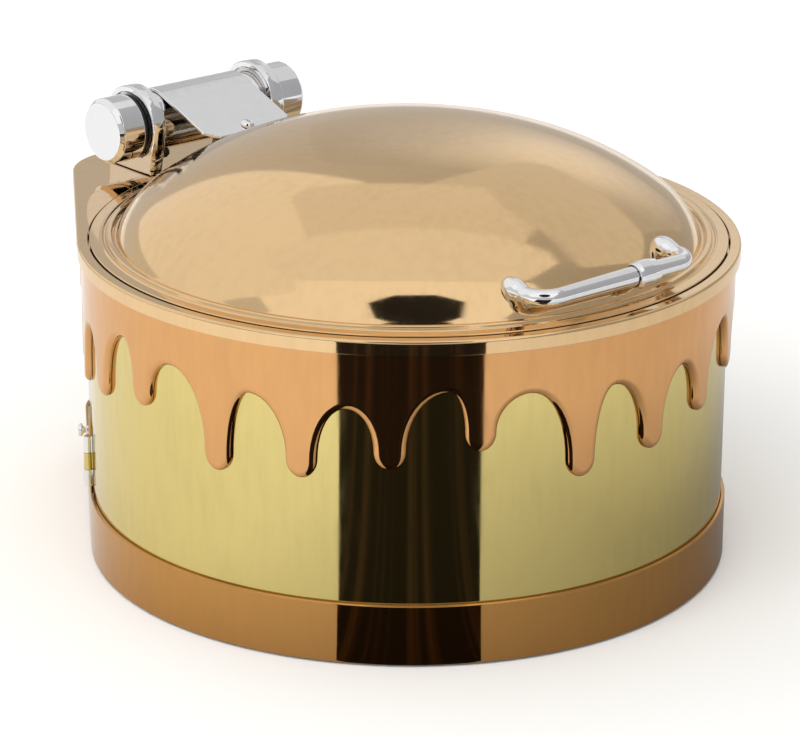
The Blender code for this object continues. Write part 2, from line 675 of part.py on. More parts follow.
def make_side_door():
    """Small door over the opening in the left flank, on a pin at its front edge."""
    low, high = DOOR_Z
    third = (high - low) / 3.0
    knuckle = (low + third, high - third)
    pin_along, pin_out = DOOR_PIN
    door = finish("side_door", flank_block(DOOR_ALONG, (GAP, GAP + WALL), DOOR_Z), "pale_gold")
    join(door, flank_block((pin_along - 0.0005, DOOR_ALONG[0] + 0.0010), (GAP, pin_out), knuckle))
    join(door, door_pin(*knuckle, 0.0025))
    cut(door, door_pin(low, high, 0.0014))
    pin = finish("door_hinge_pin", door_pin(low, high, 0.0010), "chrome")
    for bottom, top in ((low, low + third - GAP), (high - third + GAP, high)):
        join(pin, door_pin(bottom, top, 0.0025))
        join(pin, flank_block((pin_along - 0.0014, pin_along + 0.0014), (GAP, pin_out), (bottom, top)))
    profile = ((0.0, 0.0), (0.0030, 0.0), (0.0020, 0.0016), (0.0022, 0.0028), (0.0040, 0.0042), (0.0042, 0.0056),
               (0.0030, 0.0068), (0.0, 0.0070))
    knob = turned(profile, 16)
    seat = flank_point(DOOR_ALONG[1] - 0.0080, 2.0 * GAP + WALL, (low + high) / 2.0 + 0.0035)
    outward = plan_frame(-ARC_LENGTH)[1]
    knob.transform(Matrix.Translation(seat) @ outward.to_track_quat("Z", "Y").to_matrix().to_4x4())
    finish("door_knob", knob, "chrome")


def make_burner():
    """Fuel cup on the floor plate with a cover that swings sideways on a post."""
    floor = FLOOR_Z[1] + GAP
    cup = ((0.0, floor), (BURNER_R - 0.002, floor), (BURNER_R, floor + 0.002), (BURNER_R, BURNER_TOP),
           (BURNER_R - 0.001, BURNER_TOP), (BURNER_R - 0.001, floor + 0.003), (BURNER_R - 0.003, floor + 0.001),
           (0.0, floor + 0.001))
    burner = finish("burner_cup", turned(cup, 32), "steel")
    join(burner, block((-0.003, BURNER_R - 0.0008, 0.0400), (0.003, BURNER_PIN_Y, 0.0480)))
    join(burner, rod((0.0, BURNER_PIN_Y, 0.0400), (0.0, BURNER_PIN_Y, 0.0600), 0.0026, 12))
    low, high = BURNER_TOP + GAP, BURNER_TOP + 0.0015
    cover = finish("burner_lid", rod((0.0, 0.0, low), (0.0, 0.0, high), BURNER_R + 0.0010, 32), "steel")
    join(cover, rod((0.0, BURNER_PIN_Y, low), (0.0, BURNER_PIN_Y, high), 0.0060, 16))
    join(cover, rod((0.0, -0.030, high - 0.0005), (0.0, -0.030, high + 0.0080), 0.0030, 12))
    cut(cover, rod((0.0, BURNER_PIN_Y, 0.050), (0.0, BURNER_PIN_Y, 0.065), 0.0029, 12))


# ---------------------------------------------------------------- build
for old in list(bpy.data.objects):
    bpy.data.objects.remove(old)
MATERIALS = {name: make_material(name, *values) for name, values in FINISHES.items()}

make_drum_shell()
make_base_skirt()
make_drip_skirt()
make_top_deck()
make_floor_plate()
make_feet()
make_pans()
make_lid_seal()
make_lid_shell()
make_lid_screws()
make_handle()
make_hinge_cheeks()
make_hinge_caps()
make_hinge_tube()
make_damper_core()
make_hinge_leaf()
make_leaf_block()
make_leaf_screw()
make_stop_screws()
make_side_door()
make_burner()
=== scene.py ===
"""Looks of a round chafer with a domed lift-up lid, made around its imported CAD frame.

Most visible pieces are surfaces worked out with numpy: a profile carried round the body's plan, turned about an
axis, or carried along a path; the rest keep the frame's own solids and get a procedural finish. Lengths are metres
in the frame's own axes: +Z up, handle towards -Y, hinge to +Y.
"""

import math

import bmesh
import bpy
import numpy as np
from mathutils import Matrix, Vector


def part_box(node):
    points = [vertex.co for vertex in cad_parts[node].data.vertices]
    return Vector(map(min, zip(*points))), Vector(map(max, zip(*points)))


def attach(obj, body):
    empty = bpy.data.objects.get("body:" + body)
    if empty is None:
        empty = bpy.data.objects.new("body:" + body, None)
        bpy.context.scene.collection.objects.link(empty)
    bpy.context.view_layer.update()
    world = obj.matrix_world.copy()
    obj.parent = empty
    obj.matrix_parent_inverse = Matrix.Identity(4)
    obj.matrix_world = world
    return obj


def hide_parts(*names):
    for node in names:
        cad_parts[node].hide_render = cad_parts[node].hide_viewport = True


bl_info = {
    "name": "Domed chafer",
    "version": (1, 0, 0),
    "blender": (4, 5, 0),
    "location": "View3D > Sidebar > Chafer",
    "description": "Plated sheet, chrome fittings and studio for the domed chafer",
    "category": "Object",
}

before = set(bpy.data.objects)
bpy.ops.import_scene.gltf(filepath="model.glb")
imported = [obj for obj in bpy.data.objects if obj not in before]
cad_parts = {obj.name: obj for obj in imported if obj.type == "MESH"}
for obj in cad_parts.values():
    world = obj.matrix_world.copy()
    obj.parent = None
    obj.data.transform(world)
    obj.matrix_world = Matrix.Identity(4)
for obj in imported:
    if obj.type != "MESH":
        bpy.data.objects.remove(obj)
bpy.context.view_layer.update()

# ---------------------------------------------------------------- places taken from the frame
BASE_LOW, BASE_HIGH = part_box("base_skirt")
DRUM_LOW, DRUM_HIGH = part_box("drum_shell")
DRIP_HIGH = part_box("drip_skirt")[1]
DECK_LOW, DECK_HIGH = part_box("top_deck")
LID_LOW, LID_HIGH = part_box("lid_shell")
TUBE_LOW, TUBE_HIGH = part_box("hinge_tube")
CAP_LOW, CAP_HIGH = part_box("hinge_cap_right")
RING_LOW, RING_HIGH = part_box("cap_ring_right")
CHEEK_LOW, CHEEK_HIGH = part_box("hinge_cheek_right")
LEAF_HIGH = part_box("hinge_leaf")[1]
COLLAR_LOW, COLLAR_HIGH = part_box("handle_collar")
SEAL_LOW, SEAL_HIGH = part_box("lid_seal")
HINGE = (TUBE_LOW + TUBE_HIGH) / 2.0
TUBE_R = (TUBE_HIGH.z - TUBE_LOW.z) / 2.0
DRUM_R = DRUM_HIGH.x
REAR_Y = DRUM_HIGH.y
GAP = 0.0003
SIDES = (("left", -1.0), ("right", 1.0))

# ---------------------------------------------------------------- shape constants shared by several pieces
FLANK = math.radians(34.7)     # direction of the flank's outward normal, from +X towards +Y
CORNER_R = 0.039
SHEET = 0.0012
OPENING_R = 0.1976
LEDGE_R = 0.1760
LEDGE_TOP = 0.1980
DOME_Z = 0.2050
DOME_R = 0.1895
DOME_POWER = 2.677
DOME_TURN = 0.1600
DOME_EDGE = 0.1795
DOME_EDGE_Z = 0.2060
FLANGE_TOP = 0.2043
LID_SETBACK = 0.0018    # how far the lid's inner face stays inside its edge
HANDLE_SHIFT = 0.0020
HANDLE_FOOT = np.array((0.0600, -0.1600, 0.2206))
HANDLE_BEND = np.array((0.0605, -0.1850, 0.2192))
BAR_R = 0.0061
SCREW_ALONG = 0.0508
CHEEK_FEET = (0.1952, 0.2385)   # front and back of the plates' feet, along Y
LEAF_TILT = math.radians(20.0)
LEAF_LENGTH = 0.0565
LEAF_SHEET = 0.0020
DOOR_ALONG = (0.0035, 0.0545)
DOOR_Z = (0.0415, 0.0745)
DOOR_LAP = 0.0030

# one repeat of the drip skirt: (share of the repeat, height) of its tips and of the arches between them
DRIP_REPEATS = 6
DRIP_PHASE = -0.0352
DRIP_TIPS = ((0.000, 0.1098), (0.245, 0.1148), (0.479, 0.1234), (0.715, 0.1337))
DRIP_ARCHES = ((0.100, 0.1620), (0.368, 0.1595), (0.631, 0.1706), (0.846, 0.1664))
TIP_HALF = 0.0092
TIP_DROP = 0.0110

CAMERA_PLACE = (-1.3925, -1.6206, 0.8857)
CAMERA_LOOK = (0.6113, 0.7148, -0.3396)
CAMERA_ROLL = 0.0063
CAMERA_LENS = 163.5
CAMERA_AZIMUTH = math.radians(40.67)


# ---------------------------------------------------------------- settings
def length_setting(name, description, default, low, high):
    return bpy.props.FloatProperty(name=name, description=description, default=default, min=low, max=high,
                                   unit="LENGTH")


def colour_setting(name, description, default):
    return bpy.props.FloatVectorProperty(name=name, description=description, subtype="COLOR", size=3, min=0, max=1,
                                         default=default)


class ChaferSizes(bpy.types.PropertyGroup):
    """Sizes of the fine details that the CAD leaves plain."""
    fold_radius: length_setting("Fold radius", "Rounding of folded sheet edges", 0.0024, 0.0002, 0.004)
    drip_round: length_setting("Drip rounding", "Rounding of the pressed drip edges", 0.0040, 0.0005, 0.006)
    turn_steps: bpy.props.IntProperty(name="Turning steps", description="Steps round a large turned piece",
                                      default=256, min=48, max=512)
    plan_step: length_setting("Plan step", "Distance between stations round the body", 0.0024, 0.0005, 0.01)


class ChaferColours(bpy.types.PropertyGroup):
    """Colours of the finishes."""
    rose: colour_setting("Rose gold", "Plating of the drip skirt", (0.70, 0.37, 0.15))
    # painted shade: the base band has the rose gold's plating, darkened to stand for the dimmer floor it reflects
    # near the body
    base: colour_setting("Base copper", "Rose gold darkened by painted shade for the base band", (0.56, 0.29, 0.09))
    lid: colour_setting("Lid gold", "Softer plating of the spun lid and the deck", (0.78, 0.54, 0.29))
    pale: colour_setting("Pale gold", "Plating of the drum wall", (0.70, 0.57, 0.22))
    chrome: colour_setting("Chrome", "Polished fittings", (0.83, 0.83, 0.85))
    steel: colour_setting("Steel", "Satin pans and inner pieces", (0.60, 0.59, 0.57))


# ---------------------------------------------------------------- profiles and outlines
def rounded(corners, closed=True, steps=7):
    """Polyline of (a, b, radius) corners with each corner replaced by a circular arc of that radius.

    Each arc has a support point just before and after it, so that flats next to it stay flat when shaded smooth.
    """
    points = []
    count = len(corners)
    for i, (a, b, radius) in enumerate(corners):
        here = np.array((a, b), float)
        if radius <= 0.0 or (not closed and i in (0, count - 1)):
            points.append(here)
            continue
        before = np.array(corners[i - 1][:2], float) - here
        after = np.array(corners[(i + 1) % count][:2], float) - here
        before_len, after_len = np.linalg.norm(before), np.linalg.norm(after)
        before, after = before / before_len, after / after_len
        half = math.acos(max(-1.0, min(1.0, float(before @ after)))) / 2.0
        reach = min(radius / math.tan(half), 0.46 * before_len, 0.46 * after_len)
        true_radius = reach * math.tan(half)
        bisector = (before + after) / np.linalg.norm(before + after)
        centre = here + bisector * true_radius / math.sin(half)
        start, end = here + before * reach - centre, here + after * reach - centre
        sweep = math.pi - 2.0 * half
        turn = 1.0 if start[0] * end[1] - start[1] * end[0] > 0.0 else -1.0
        angles = np.linspace(0.0, sweep * turn, steps)
        cos, sin = np.cos(angles), np.sin(angles)
        points.append(here + before * reach * 1.06)
        points.extend(centre + np.stack((start[0] * cos - start[1] * sin, start[0] * sin + start[1] * cos), 1))
        points.append(here + after * reach * 1.06)
    return np.array(points)


CORNER_Y = REAR_Y - CORNER_R
CORNER_X = (DRUM_R - CORNER_R - math.sin(FLANK) * CORNER_Y) / math.cos(FLANK)
ARC_LENGTH = DRUM_R * (FLANK + math.pi / 2.0)
FLANK_LENGTH = abs(CORNER_X * math.sin(FLANK) - CORNER_Y * math.cos(FLANK))
CORNER_LENGTH = CORNER_R * (math.pi / 2.0 - FLANK)
HALF_LENGTH = ARC_LENGTH + FLANK_LENGTH + CORNER_LENGTH + CORNER_X


def plan(s):
    """Points and outward normals of the drum wall, s metres round it from the front centre towards +X.

    The plan is a circular arc, a straight flank, a corner arc and half of the flat rear, mirrored across x = 0.
    """
    s = (np.asarray(s, float) + HALF_LENGTH) % (2.0 * HALF_LENGTH) - HALF_LENGTH
    side, t = np.where(s >= 0.0, 1.0, -1.0), np.abs(s)
    flank_end = ARC_LENGTH + FLANK_LENGTH
    angle = np.where(t <= ARC_LENGTH, -math.pi / 2.0 + t / DRUM_R,
                     np.where(t <= flank_end, FLANK, FLANK + np.minimum(t - flank_end, CORNER_LENGTH) / CORNER_R))
    normal = np.stack((np.cos(angle), np.sin(angle)), 1)
    along = np.clip(t - ARC_LENGTH, 0.0, FLANK_LENGTH)[:, None] * np.array((-math.sin(FLANK), math.cos(FLANK)))
    point = np.where((t <= flank_end)[:, None], normal * DRUM_R + along,
                     np.array((CORNER_X, CORNER_Y)) + normal * CORNER_R)
    rear = t > flank_end + CORNER_LENGTH
    point[rear, 0] = HALF_LENGTH - t[rear]
    point[rear, 1] = REAR_Y
    normal[rear] = (0.0, 1.0)
    point[:, 0] *= side
    normal[:, 0] *= side
    return point, normal


def stations(extra=()):
    """Distances round the wall: even steps, every join of the plan, and any extra places."""
    step = bpy.context.scene.chafer_sizes.plan_step
    joins = [0.0, ARC_LENGTH, ARC_LENGTH + FLANK_LENGTH, ARC_LENGTH + FLANK_LENGTH + CORNER_LENGTH, HALF_LENGTH]
    half = np.concatenate([np.linspace(a, b, max(2, int((b - a) / step)), endpoint=False)
                           for a, b in zip(joins, joins[1:])] + [[HALF_LENGTH]])
    around = np.concatenate((-half[1:-1], half))
    keep = np.ones(len(around), bool)
    for place in extra:
        keep &= np.abs(around - place) > 0.2 * step
    return np.sort(np.concatenate((around[keep], extra)))


def carried(profile, s):
    """Closed (out, z) profile carried round the plan: points with one row per station."""
    point, normal = plan(s)
    flat = point[:, None, :] + normal[:, None, :] * profile[None, :, 0, None]
    height = np.broadcast_to(profile[None, :, 1, None], flat.shape[:2] + (1,))
    return np.concatenate((flat, height), 2)


def turned(profile, steps, axis="Z", centre=(0.0, 0.0, 0.0)):
    """(radius, height) profile turned about an axis: radius goes round as cosine and sine, height stays."""
    angle = np.linspace(0.0, 2.0 * math.pi, steps, endpoint=False)[:, None]
    radius, height = profile[None, :, 0], np.broadcast_to(profile[None, :, 1], (steps, len(profile)))
    across, over = radius * np.cos(angle), radius * np.sin(angle)
    parts = {"Z": (across, over, height), "X": (height, across, over)}[axis]
    return np.stack(parts, 2) + np.asarray(centre, float)


def turned_on(profile, steps, seat, direction):
    """A turned profile stood on a seat point, its height along the given direction."""
    turn = np.array(Vector(direction).to_track_quat("Z", "Y").to_matrix())
    return turned(profile, steps) @ turn.T + np.asarray(seat, float)


def swept(path, radii, sides):
    """Circle of varying radius carried along a path without twisting about it."""
    path, radii = np.asarray(path, float), np.asarray(radii, float)
    along = np.gradient(path, axis=0)
    along /= np.linalg.norm(along, axis=1)[:, None]
    up = np.array((0.0, 0.0, 1.0)) - along * along[:, 2:3]
    up /= np.linalg.norm(up, axis=1)[:, None]
    side = np.cross(along, up)
    angle = np.linspace(0.0, 2.0 * math.pi, sides, endpoint=False)
    spoke = up[:, None, :] * np.cos(angle)[None, :, None] + side[:, None, :] * np.sin(angle)[None, :, None]
    return path[:, None, :] + spoke * radii[:, None, None]


# ---------------------------------------------------------------- meshes
def grid_faces(rows, columns, close_rows, close_columns):
    """Quads of a rows by columns grid, optionally joined end to end in either direction."""
    r = np.arange(rows if close_rows else rows - 1)
    c = np.arange(columns if close_columns else columns - 1)
    r, c = np.meshgrid(r, c, indexing="ij")
    nr, nc = (r + 1) % rows, (c + 1) % columns
    return np.stack((r * columns + c, nr * columns + c, nr * columns + nc, r * columns + nc), 2).reshape(-1, 4)


def piece(name, points, faces, finish, body, node, sharp=40.0, ends=()):
    """Mesh object in place of a CAD node: doubles merged at poles, faces turned outwards, riding on its body."""
    mesh = bpy.data.meshes.new(name)
    faces = [tuple(f) for f in faces.tolist()] + [tuple(end) for end in ends]
    mesh.from_pydata(points.reshape(-1, 3).tolist(), [], faces)
    work = bmesh.new()
    work.from_mesh(mesh)
    bmesh.ops.remove_doubles(work, verts=work.verts, dist=1e-7)
    if work.calc_volume(signed=True) < 0.0:
        bmesh.ops.reverse_faces(work, faces=work.faces)
    work.to_mesh(mesh)
    work.free()
    mesh.shade_smooth()
    mesh.set_sharp_from_angle(angle=math.radians(sharp))
    obj = bpy.data.objects.new(name, mesh)
    bpy.context.scene.collection.objects.link(obj)
    mesh.materials.append(finish_named(finish))
    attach(obj, body)
    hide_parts(node)
    return obj


def ring_piece(name, points, *rest, **options):
    """A piece whose grid closes in both directions, such as a closed profile carried right round."""
    return piece(name, points, grid_faces(*points.shape[:2], True, True), *rest, **options)


def turned_piece(name, points, *rest, **options):
    """A turned piece whose profile starts and ends on the axis."""
    return piece(name, points, grid_faces(*points.shape[:2], True, False), *rest, **options)


def rod_piece(name, points, *rest, **options):
    """A piece of rings along a path, with a flat face over each end ring."""
    rows, columns = points.shape[:2]
    last = (rows - 1) * columns
    ends = [list(range(columns))[::-1], list(range(last, last + columns))]
    return piece(name, points, grid_faces(rows, columns, False, True), *rest, ends=ends, **options)


# ---------------------------------------------------------------- shader nodes and groups
def add_node(tree, kind, links=(), **values):
    """A node with attributes set by name, sockets set by value and links made from (socket, input) pairs."""
    node = tree.nodes.new(kind)
    for key, value in values.items():
        setattr(node, key, value)
    for source, target in links:
        if isinstance(source, bpy.types.NodeSocket):
            tree.links.new(source, node.inputs[target])
        else:
            node.inputs[target].default_value = source
    return node


def object_place(tree):
    return add_node(tree, "ShaderNodeTexCoord").outputs["Object"]


def maths(tree, operation, *terms):
    """Result of a math node on sockets and numbers."""
    links = [(term, i) for i, term in enumerate(terms)]
    return add_node(tree, "ShaderNodeMath", links, operation=operation).outputs[0]


def vector_maths(tree, operation, *terms):
    """Result of a vector math node: a number where the operation gives one, else a vector."""
    links = [(term, i) for i, term in enumerate(terms)]
    node = add_node(tree, "ShaderNodeVectorMath", links, operation=operation)
    return node.outputs["Value" if operation in ("LENGTH", "DISTANCE", "DOT_PRODUCT") else "Vector"]


def stretched(tree, scale):
    """Object coordinates scaled along each axis."""
    return add_node(tree, "ShaderNodeMapping", ((object_place(tree), "Vector"), (scale, "Scale"))).outputs[0]


def noise(tree, place, scale, detail, rough=0.5):
    """Noise at a place in space."""
    links = ((place, "Vector"), (scale, "Scale"), (detail, "Detail"), (rough, "Roughness"))
    return add_node(tree, "ShaderNodeTexNoise", links).outputs["Fac"]


def noise_along(tree, distance, scale, detail):
    """Noise along one number."""
    links = ((distance, "W"), (scale, "Scale"), (detail, "Detail"))
    return add_node(tree, "ShaderNodeTexNoise", links, noise_dimensions="1D").outputs["Fac"]


def ranged(tree, value, start, end, low, high, easing="LINEAR"):
    """The value's run from start to end turned into a run from low to high."""
    links = ((value, "Value"), (start, "From Min"), (end, "From Max"), (low, "To Min"), (high, "To Max"))
    return add_node(tree, "ShaderNodeMapRange", links, interpolation_type=easing).outputs[0]


def bumped(tree, height, strength, distance, normal=None):
    """Normal of a surface raised by a height, on top of an earlier normal where there is one."""
    links = [(height, "Height"), (strength, "Strength"), (distance, "Distance")]
    if normal is not None:
        links.append((normal, "Normal"))
    return add_node(tree, "ShaderNodeBump", links).outputs["Normal"]


def group(name, inputs, outputs, build):
    """Shader group with float sockets, built the first time it is asked for; build returns the output values."""
    tree = bpy.data.node_groups.get(name)
    if tree is None:
        tree = bpy.data.node_groups.new(name, "ShaderNodeTree")
        for label, value in inputs:
            tree.interface.new_socket(label, in_out="INPUT", socket_type="NodeSocketFloat").default_value = value
        for label in outputs:
            tree.interface.new_socket(label, in_out="OUTPUT", socket_type="NodeSocketFloat")
        given, out = tree.nodes.new("NodeGroupInput").outputs, tree.nodes.new("NodeGroupOutput").inputs
        for label, value in zip(outputs, build(tree, given)):
            tree.links.new(value, out[label])
    return tree


def group_node(tree, shared, **values):
    node = add_node(tree, "ShaderNodeGroup", node_tree=shared)
    for label, value in values.items():
        node.inputs[label].default_value = value
    return node.outputs


def wiping_marks(tree, **values):
    """Two noises, one cloudy and one streaked, that raise the roughness a little in patches."""
    def build(inside, given):
        cloud = noise(inside, object_place(inside), given["Scale"], 4.0, 0.62)
        streak = noise(inside, stretched(inside, (30.0, 30.0, 6.0)), 6.0, 3.0)
        mask = ranged(inside, maths(inside, "MULTIPLY", cloud, streak), 0.16, 0.42, 0.0, 1.0, "SMOOTHSTEP")
        return ranged(inside, mask, 0.0, 1.0, given["Low"], given["High"]), mask

    inputs = (("Scale", 9.0), ("Low", 0.05), ("High", 0.12))
    return group_node(tree, group("Wiping marks", inputs, ("Roughness", "Mask"), build), **values)


def sheet_ripple(tree, **values):
    """Height of thin rolled sheet: a slow noise drawn out along Z, and fine polishing lines."""
    def build(inside, given):
        slow = noise(inside, stretched(inside, (1.0, 1.0, 0.22)), 14.0, 1.0)
        fine = noise(inside, stretched(inside, (1.0, 1.0, 14.0)), 260.0, 2.0)
        return (maths(inside, "MULTIPLY_ADD", fine, given["Fine"], maths(inside, "MULTIPLY", slow, given["Slow"])),)

    return group_node(tree, group("Sheet ripple", (("Slow", 1.0), ("Fine", 0.05)), ("Height",), build), **values)


def turning_lines(tree, **values):
    """Height read as noise along the distance from the Z axis, for spun and wiped round sheet."""
    def build(inside, given):
        place = object_place(inside)
        radius = vector_maths(inside, "LENGTH", vector_maths(inside, "MULTIPLY", place, (1.0, 1.0, 0.0)))
        height = add_node(inside, "ShaderNodeSeparateXYZ", ((place, 0),)).outputs["Z"]
        reach = maths(inside, "MULTIPLY", maths(inside, "SUBTRACT", radius, height), given["Lines"])
        return (noise_along(inside, reach, 1.0, 3.0),)

    return group_node(tree, group("Turning lines", (("Lines", 900.0),), ("Height",), build), **values)


# ---------------------------------------------------------------- materials
def new_material(name, colour):
    """Material with nodes and a plain viewport colour; returns it, its tree and its Principled shader's inputs."""
    material = bpy.data.materials.new(name)
    material.use_nodes = True
    material.diffuse_color = (*colour, 1.0)
    return material, material.node_tree, material.node_tree.nodes["Principled BSDF"].inputs


def plated_metal(name, colour, low, high, ripple=0.0, fine=0.03, lines=0.0, tint=0.06):
    """Polished plated sheet: metal whose roughness, tone and surface change a little over it."""
    material, tree, shader = new_material(name, colour)
    shader["Metallic"].default_value = 1.0
    marks = wiping_marks(tree, Low=low, High=high)
    tree.links.new(marks["Roughness"], shader["Roughness"])
    darker = tuple(c * (1.0 - tint) for c in colour)
    tone = add_node(tree, "ShaderNodeMix", ((marks["Mask"], "Factor"), ((*colour, 1.0), 6), ((*darker, 1.0), 7)),
                    data_type="RGBA")
    tree.links.new(tone.outputs[2], shader["Base Color"])
    normal = None
    if ripple > 0.0:
        normal = bumped(tree, sheet_ripple(tree, Slow=ripple, Fine=fine)["Height"], 0.35, 0.0006)
    if lines > 0.0:
        normal = bumped(tree, turning_lines(tree)["Height"], lines, 0.00006, normal)
    if normal is not None:
        tree.links.new(normal, shader["Normal"])
    return material


def moulded(name, colour, low, high, grain):
    """Moulded black plastic or rubber with a fine grained skin."""
    material, tree, shader = new_material(name, colour)
    shader["Base Color"].default_value = (*colour, 1.0)
    tree.links.new(wiping_marks(tree, Scale=40.0, Low=low, High=high)["Roughness"], shader["Roughness"])
    skin = noise(tree, object_place(tree), 1400.0, 2.0)
    tree.links.new(bumped(tree, skin, grain, 0.0002), shader["Normal"])
    return material


# finish: (slot, colour setting or colour, roughness from, roughness to, further values)
FINISHES = {
    "Rose gold plate": ("rose_gold", "rose", 0.05, 0.10, dict(ripple=0.6, fine=0.004)),
    # painted shade: the base band's finish is the rose gold's slot with a darker colour for the dimmer floor it
    # reflects
    "Base copper plate": ("rose_gold", "base", 0.045, 0.09, dict(ripple=0.4, fine=0.004)),
    "Deck gold plate": ("rose_gold", "lid", 0.04, 0.09, dict(ripple=0.3, fine=0.003)),
    "Lid gold plate": ("rose_gold", "lid", 0.07, 0.12, dict(ripple=0.25, fine=0.0, lines=0.06)),
    "Pale gold plate": ("pale_gold", "pale", 0.05, 0.10, dict(ripple=0.9, fine=0.006)),
    "Polished chrome": ("chrome", "chrome", 0.035, 0.10, dict(tint=0.03)),
    "Chrome on sheet": ("chrome", "chrome", 0.10, 0.20, dict(ripple=0.4, fine=0.02, tint=0.04)),
    "Satin steel": ("steel", "steel", 0.22, 0.34, dict(lines=0.35, tint=0.10)),
    "Black moulding": ("black", (0.012, 0.012, 0.013), 0.25, 0.42, dict(grain=0.12)),
    "Black rubber": ("rubber", (0.022, 0.022, 0.022), 0.55, 0.75, dict(grain=0.35)),
}


def finish_named(name):
    """The finish of that name, made the first time it is asked for."""
    made = bpy.data.materials.get(name)
    if made:
        return made
    _, colour, low, high, further = FINISHES[name]
    if isinstance(colour, str):
        return plated_metal(name, getattr(bpy.context.scene.chafer_colours, colour), low, high, **further)
    return moulded(name, colour, low, high, **further)


def dress(finish, *nodes):
    """Give CAD nodes that stay visible their procedural finish."""
    for node in nodes:
        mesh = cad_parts[node].data
        mesh.materials.clear()
        mesh.materials.append(finish_named(finish))


# ---------------------------------------------------------------- body
class CHAFER_OT_drum(bpy.types.Operator):
    """Drum wall: two skins of sheet carried round the plan, with the side door's opening cut in the left flank."""
    bl_idname = "chafer.drum"
    bl_label = "Drum wall"

    def execute(self, context):
        hole_s = [-(ARC_LENGTH + along) for along in (DOOR_ALONG[1] - DOOR_LAP, DOOR_ALONG[0] + DOOR_LAP)]
        hole_z = [DOOR_Z[0] + DOOR_LAP, DOOR_Z[1] - DOOR_LAP]
        s = stations(hole_s)
        z = np.sort(np.concatenate((np.linspace(DRUM_LOW.z, DRUM_HIGH.z, 16), hole_z)))
        first, last = np.searchsorted(s, hole_s[0]), np.searchsorted(s, hole_s[1])
        low, high = np.searchsorted(z, hole_z[0]), np.searchsorted(z, hole_z[1])
        skins = [carried(np.stack((np.full(len(z), out), z), 1), s) for out in (0.0, -SHEET)]
        count, rows = len(s), len(z)
        column, row = np.meshgrid(np.arange(count), np.arange(rows - 1), indexing="ij")
        solid = ~((column >= first) & (column < last) & (row >= low) & (row < high))
        column, row = column[solid], row[solid]
        ahead = (column + 1) % count
        here, there = column * rows + row, ahead * rows + row
        outer = np.stack((here, there, there + 1, here + 1), 1)
        skin = count * rows
        faces = [outer, outer[:, ::-1] + skin]

        def bridge(edge):
            nxt = np.roll(edge, -1)
            return np.stack((edge, edge + skin, nxt + skin, nxt), 1)

        everywhere = np.arange(count) * rows
        across, up = np.arange(first, last), np.arange(low, high)
        rim = np.concatenate((across * rows + low, last * rows + up, across[::-1] * rows + rows + high,
                              first * rows + up[::-1] + 1))
        faces += [bridge(everywhere), bridge(everywhere + rows - 1)[:, ::-1], bridge(rim)[:, ::-1]]
        piece("drum_wall", np.stack(skins), np.concatenate(faces), "Pale gold plate", "body", "drum_shell")
        return {"FINISHED"}


class CHAFER_OT_base(bpy.types.Operator):
    """Base band: a sheet profile with a rolled shoulder carried round the plan, and the pads under the floor."""
    bl_idname = "chafer.base"
    bl_label = "Base band"

    def execute(self, context):
        out = BASE_HIGH.x - DRUM_R
        low, high = BASE_LOW.z, BASE_HIGH.z
        corners = ((out, low, 0.0003), (out, high, 0.0024), (GAP, high, 0.0002), (GAP, low, 0.0002))
        band = carried(rounded(corners, steps=9), stations())
        ring_piece("base_band", band, "Base copper plate", "body", "base_skirt")
        dress("Satin steel", "floor_plate")
        dress("Black rubber", *("foot_" + word for word in (
            "centre", "front_left", "front_right", "rear_left", "rear_right")))
        return {"FINISHED"}


def drip_edge(steps):
    """Lower edge of the skirt as distances, heights and unit directions into the sheet.

    Each stretch from a tip to the next arch is two quarter ellipses that meet at an upright tangent: the tip's,
    TIP_HALF wide and TIP_DROP high, and the arch's, which takes up the rest of the way and of the height.
    """
    period = 2.0 * HALF_LENGTH / DRIP_REPEATS
    places = [(repeat + share) * period + DRIP_PHASE for repeat in range(DRIP_REPEATS)
              for pair in zip(DRIP_TIPS, DRIP_ARCHES) for share, _ in pair]
    heights = [height for pair in zip(DRIP_TIPS, DRIP_ARCHES) for _, height in pair] * DRIP_REPEATS
    places.append(places[0] + 2.0 * HALF_LENGTH)
    heights.append(heights[0])
    angle = np.linspace(0.0, math.pi / 2.0, steps)
    s, z = [], []
    for k in range(len(places) - 1):
        falls = k % 2 == 1
        tip, arch = (k + 1, k) if falls else (k, k + 1)
        way = -1.0 if falls else 1.0
        reach = abs(places[arch] - places[tip]) - TIP_HALF
        rise = heights[arch] - heights[tip] - TIP_DROP
        tip_s = places[tip] + way * TIP_HALF * np.sin(angle)
        tip_z = heights[tip] + TIP_DROP * (1.0 - np.cos(angle))
        arch_s = places[arch] - way * reach * np.sin(angle[::-1])
        arch_z = heights[arch] - rise * (1.0 - np.cos(angle[::-1]))
        run_s, run_z = np.concatenate((tip_s, arch_s[1:])), np.concatenate((tip_z, arch_z[1:]))
        if falls:
            run_s, run_z = run_s[::-1], run_z[::-1]
        s.append(run_s[:-1])
        z.append(run_z[:-1])
    s, z = np.concatenate(s), np.concatenate(z)
    ahead_s = np.roll(s, -1) - np.roll(s, 1)
    ahead_s[[0, -1]] += 2.0 * HALF_LENGTH
    ahead_z = np.roll(z, -1) - np.roll(z, 1)
    length = np.hypot(ahead_s, ahead_z)
    return s, z, -ahead_z / length, ahead_s / length


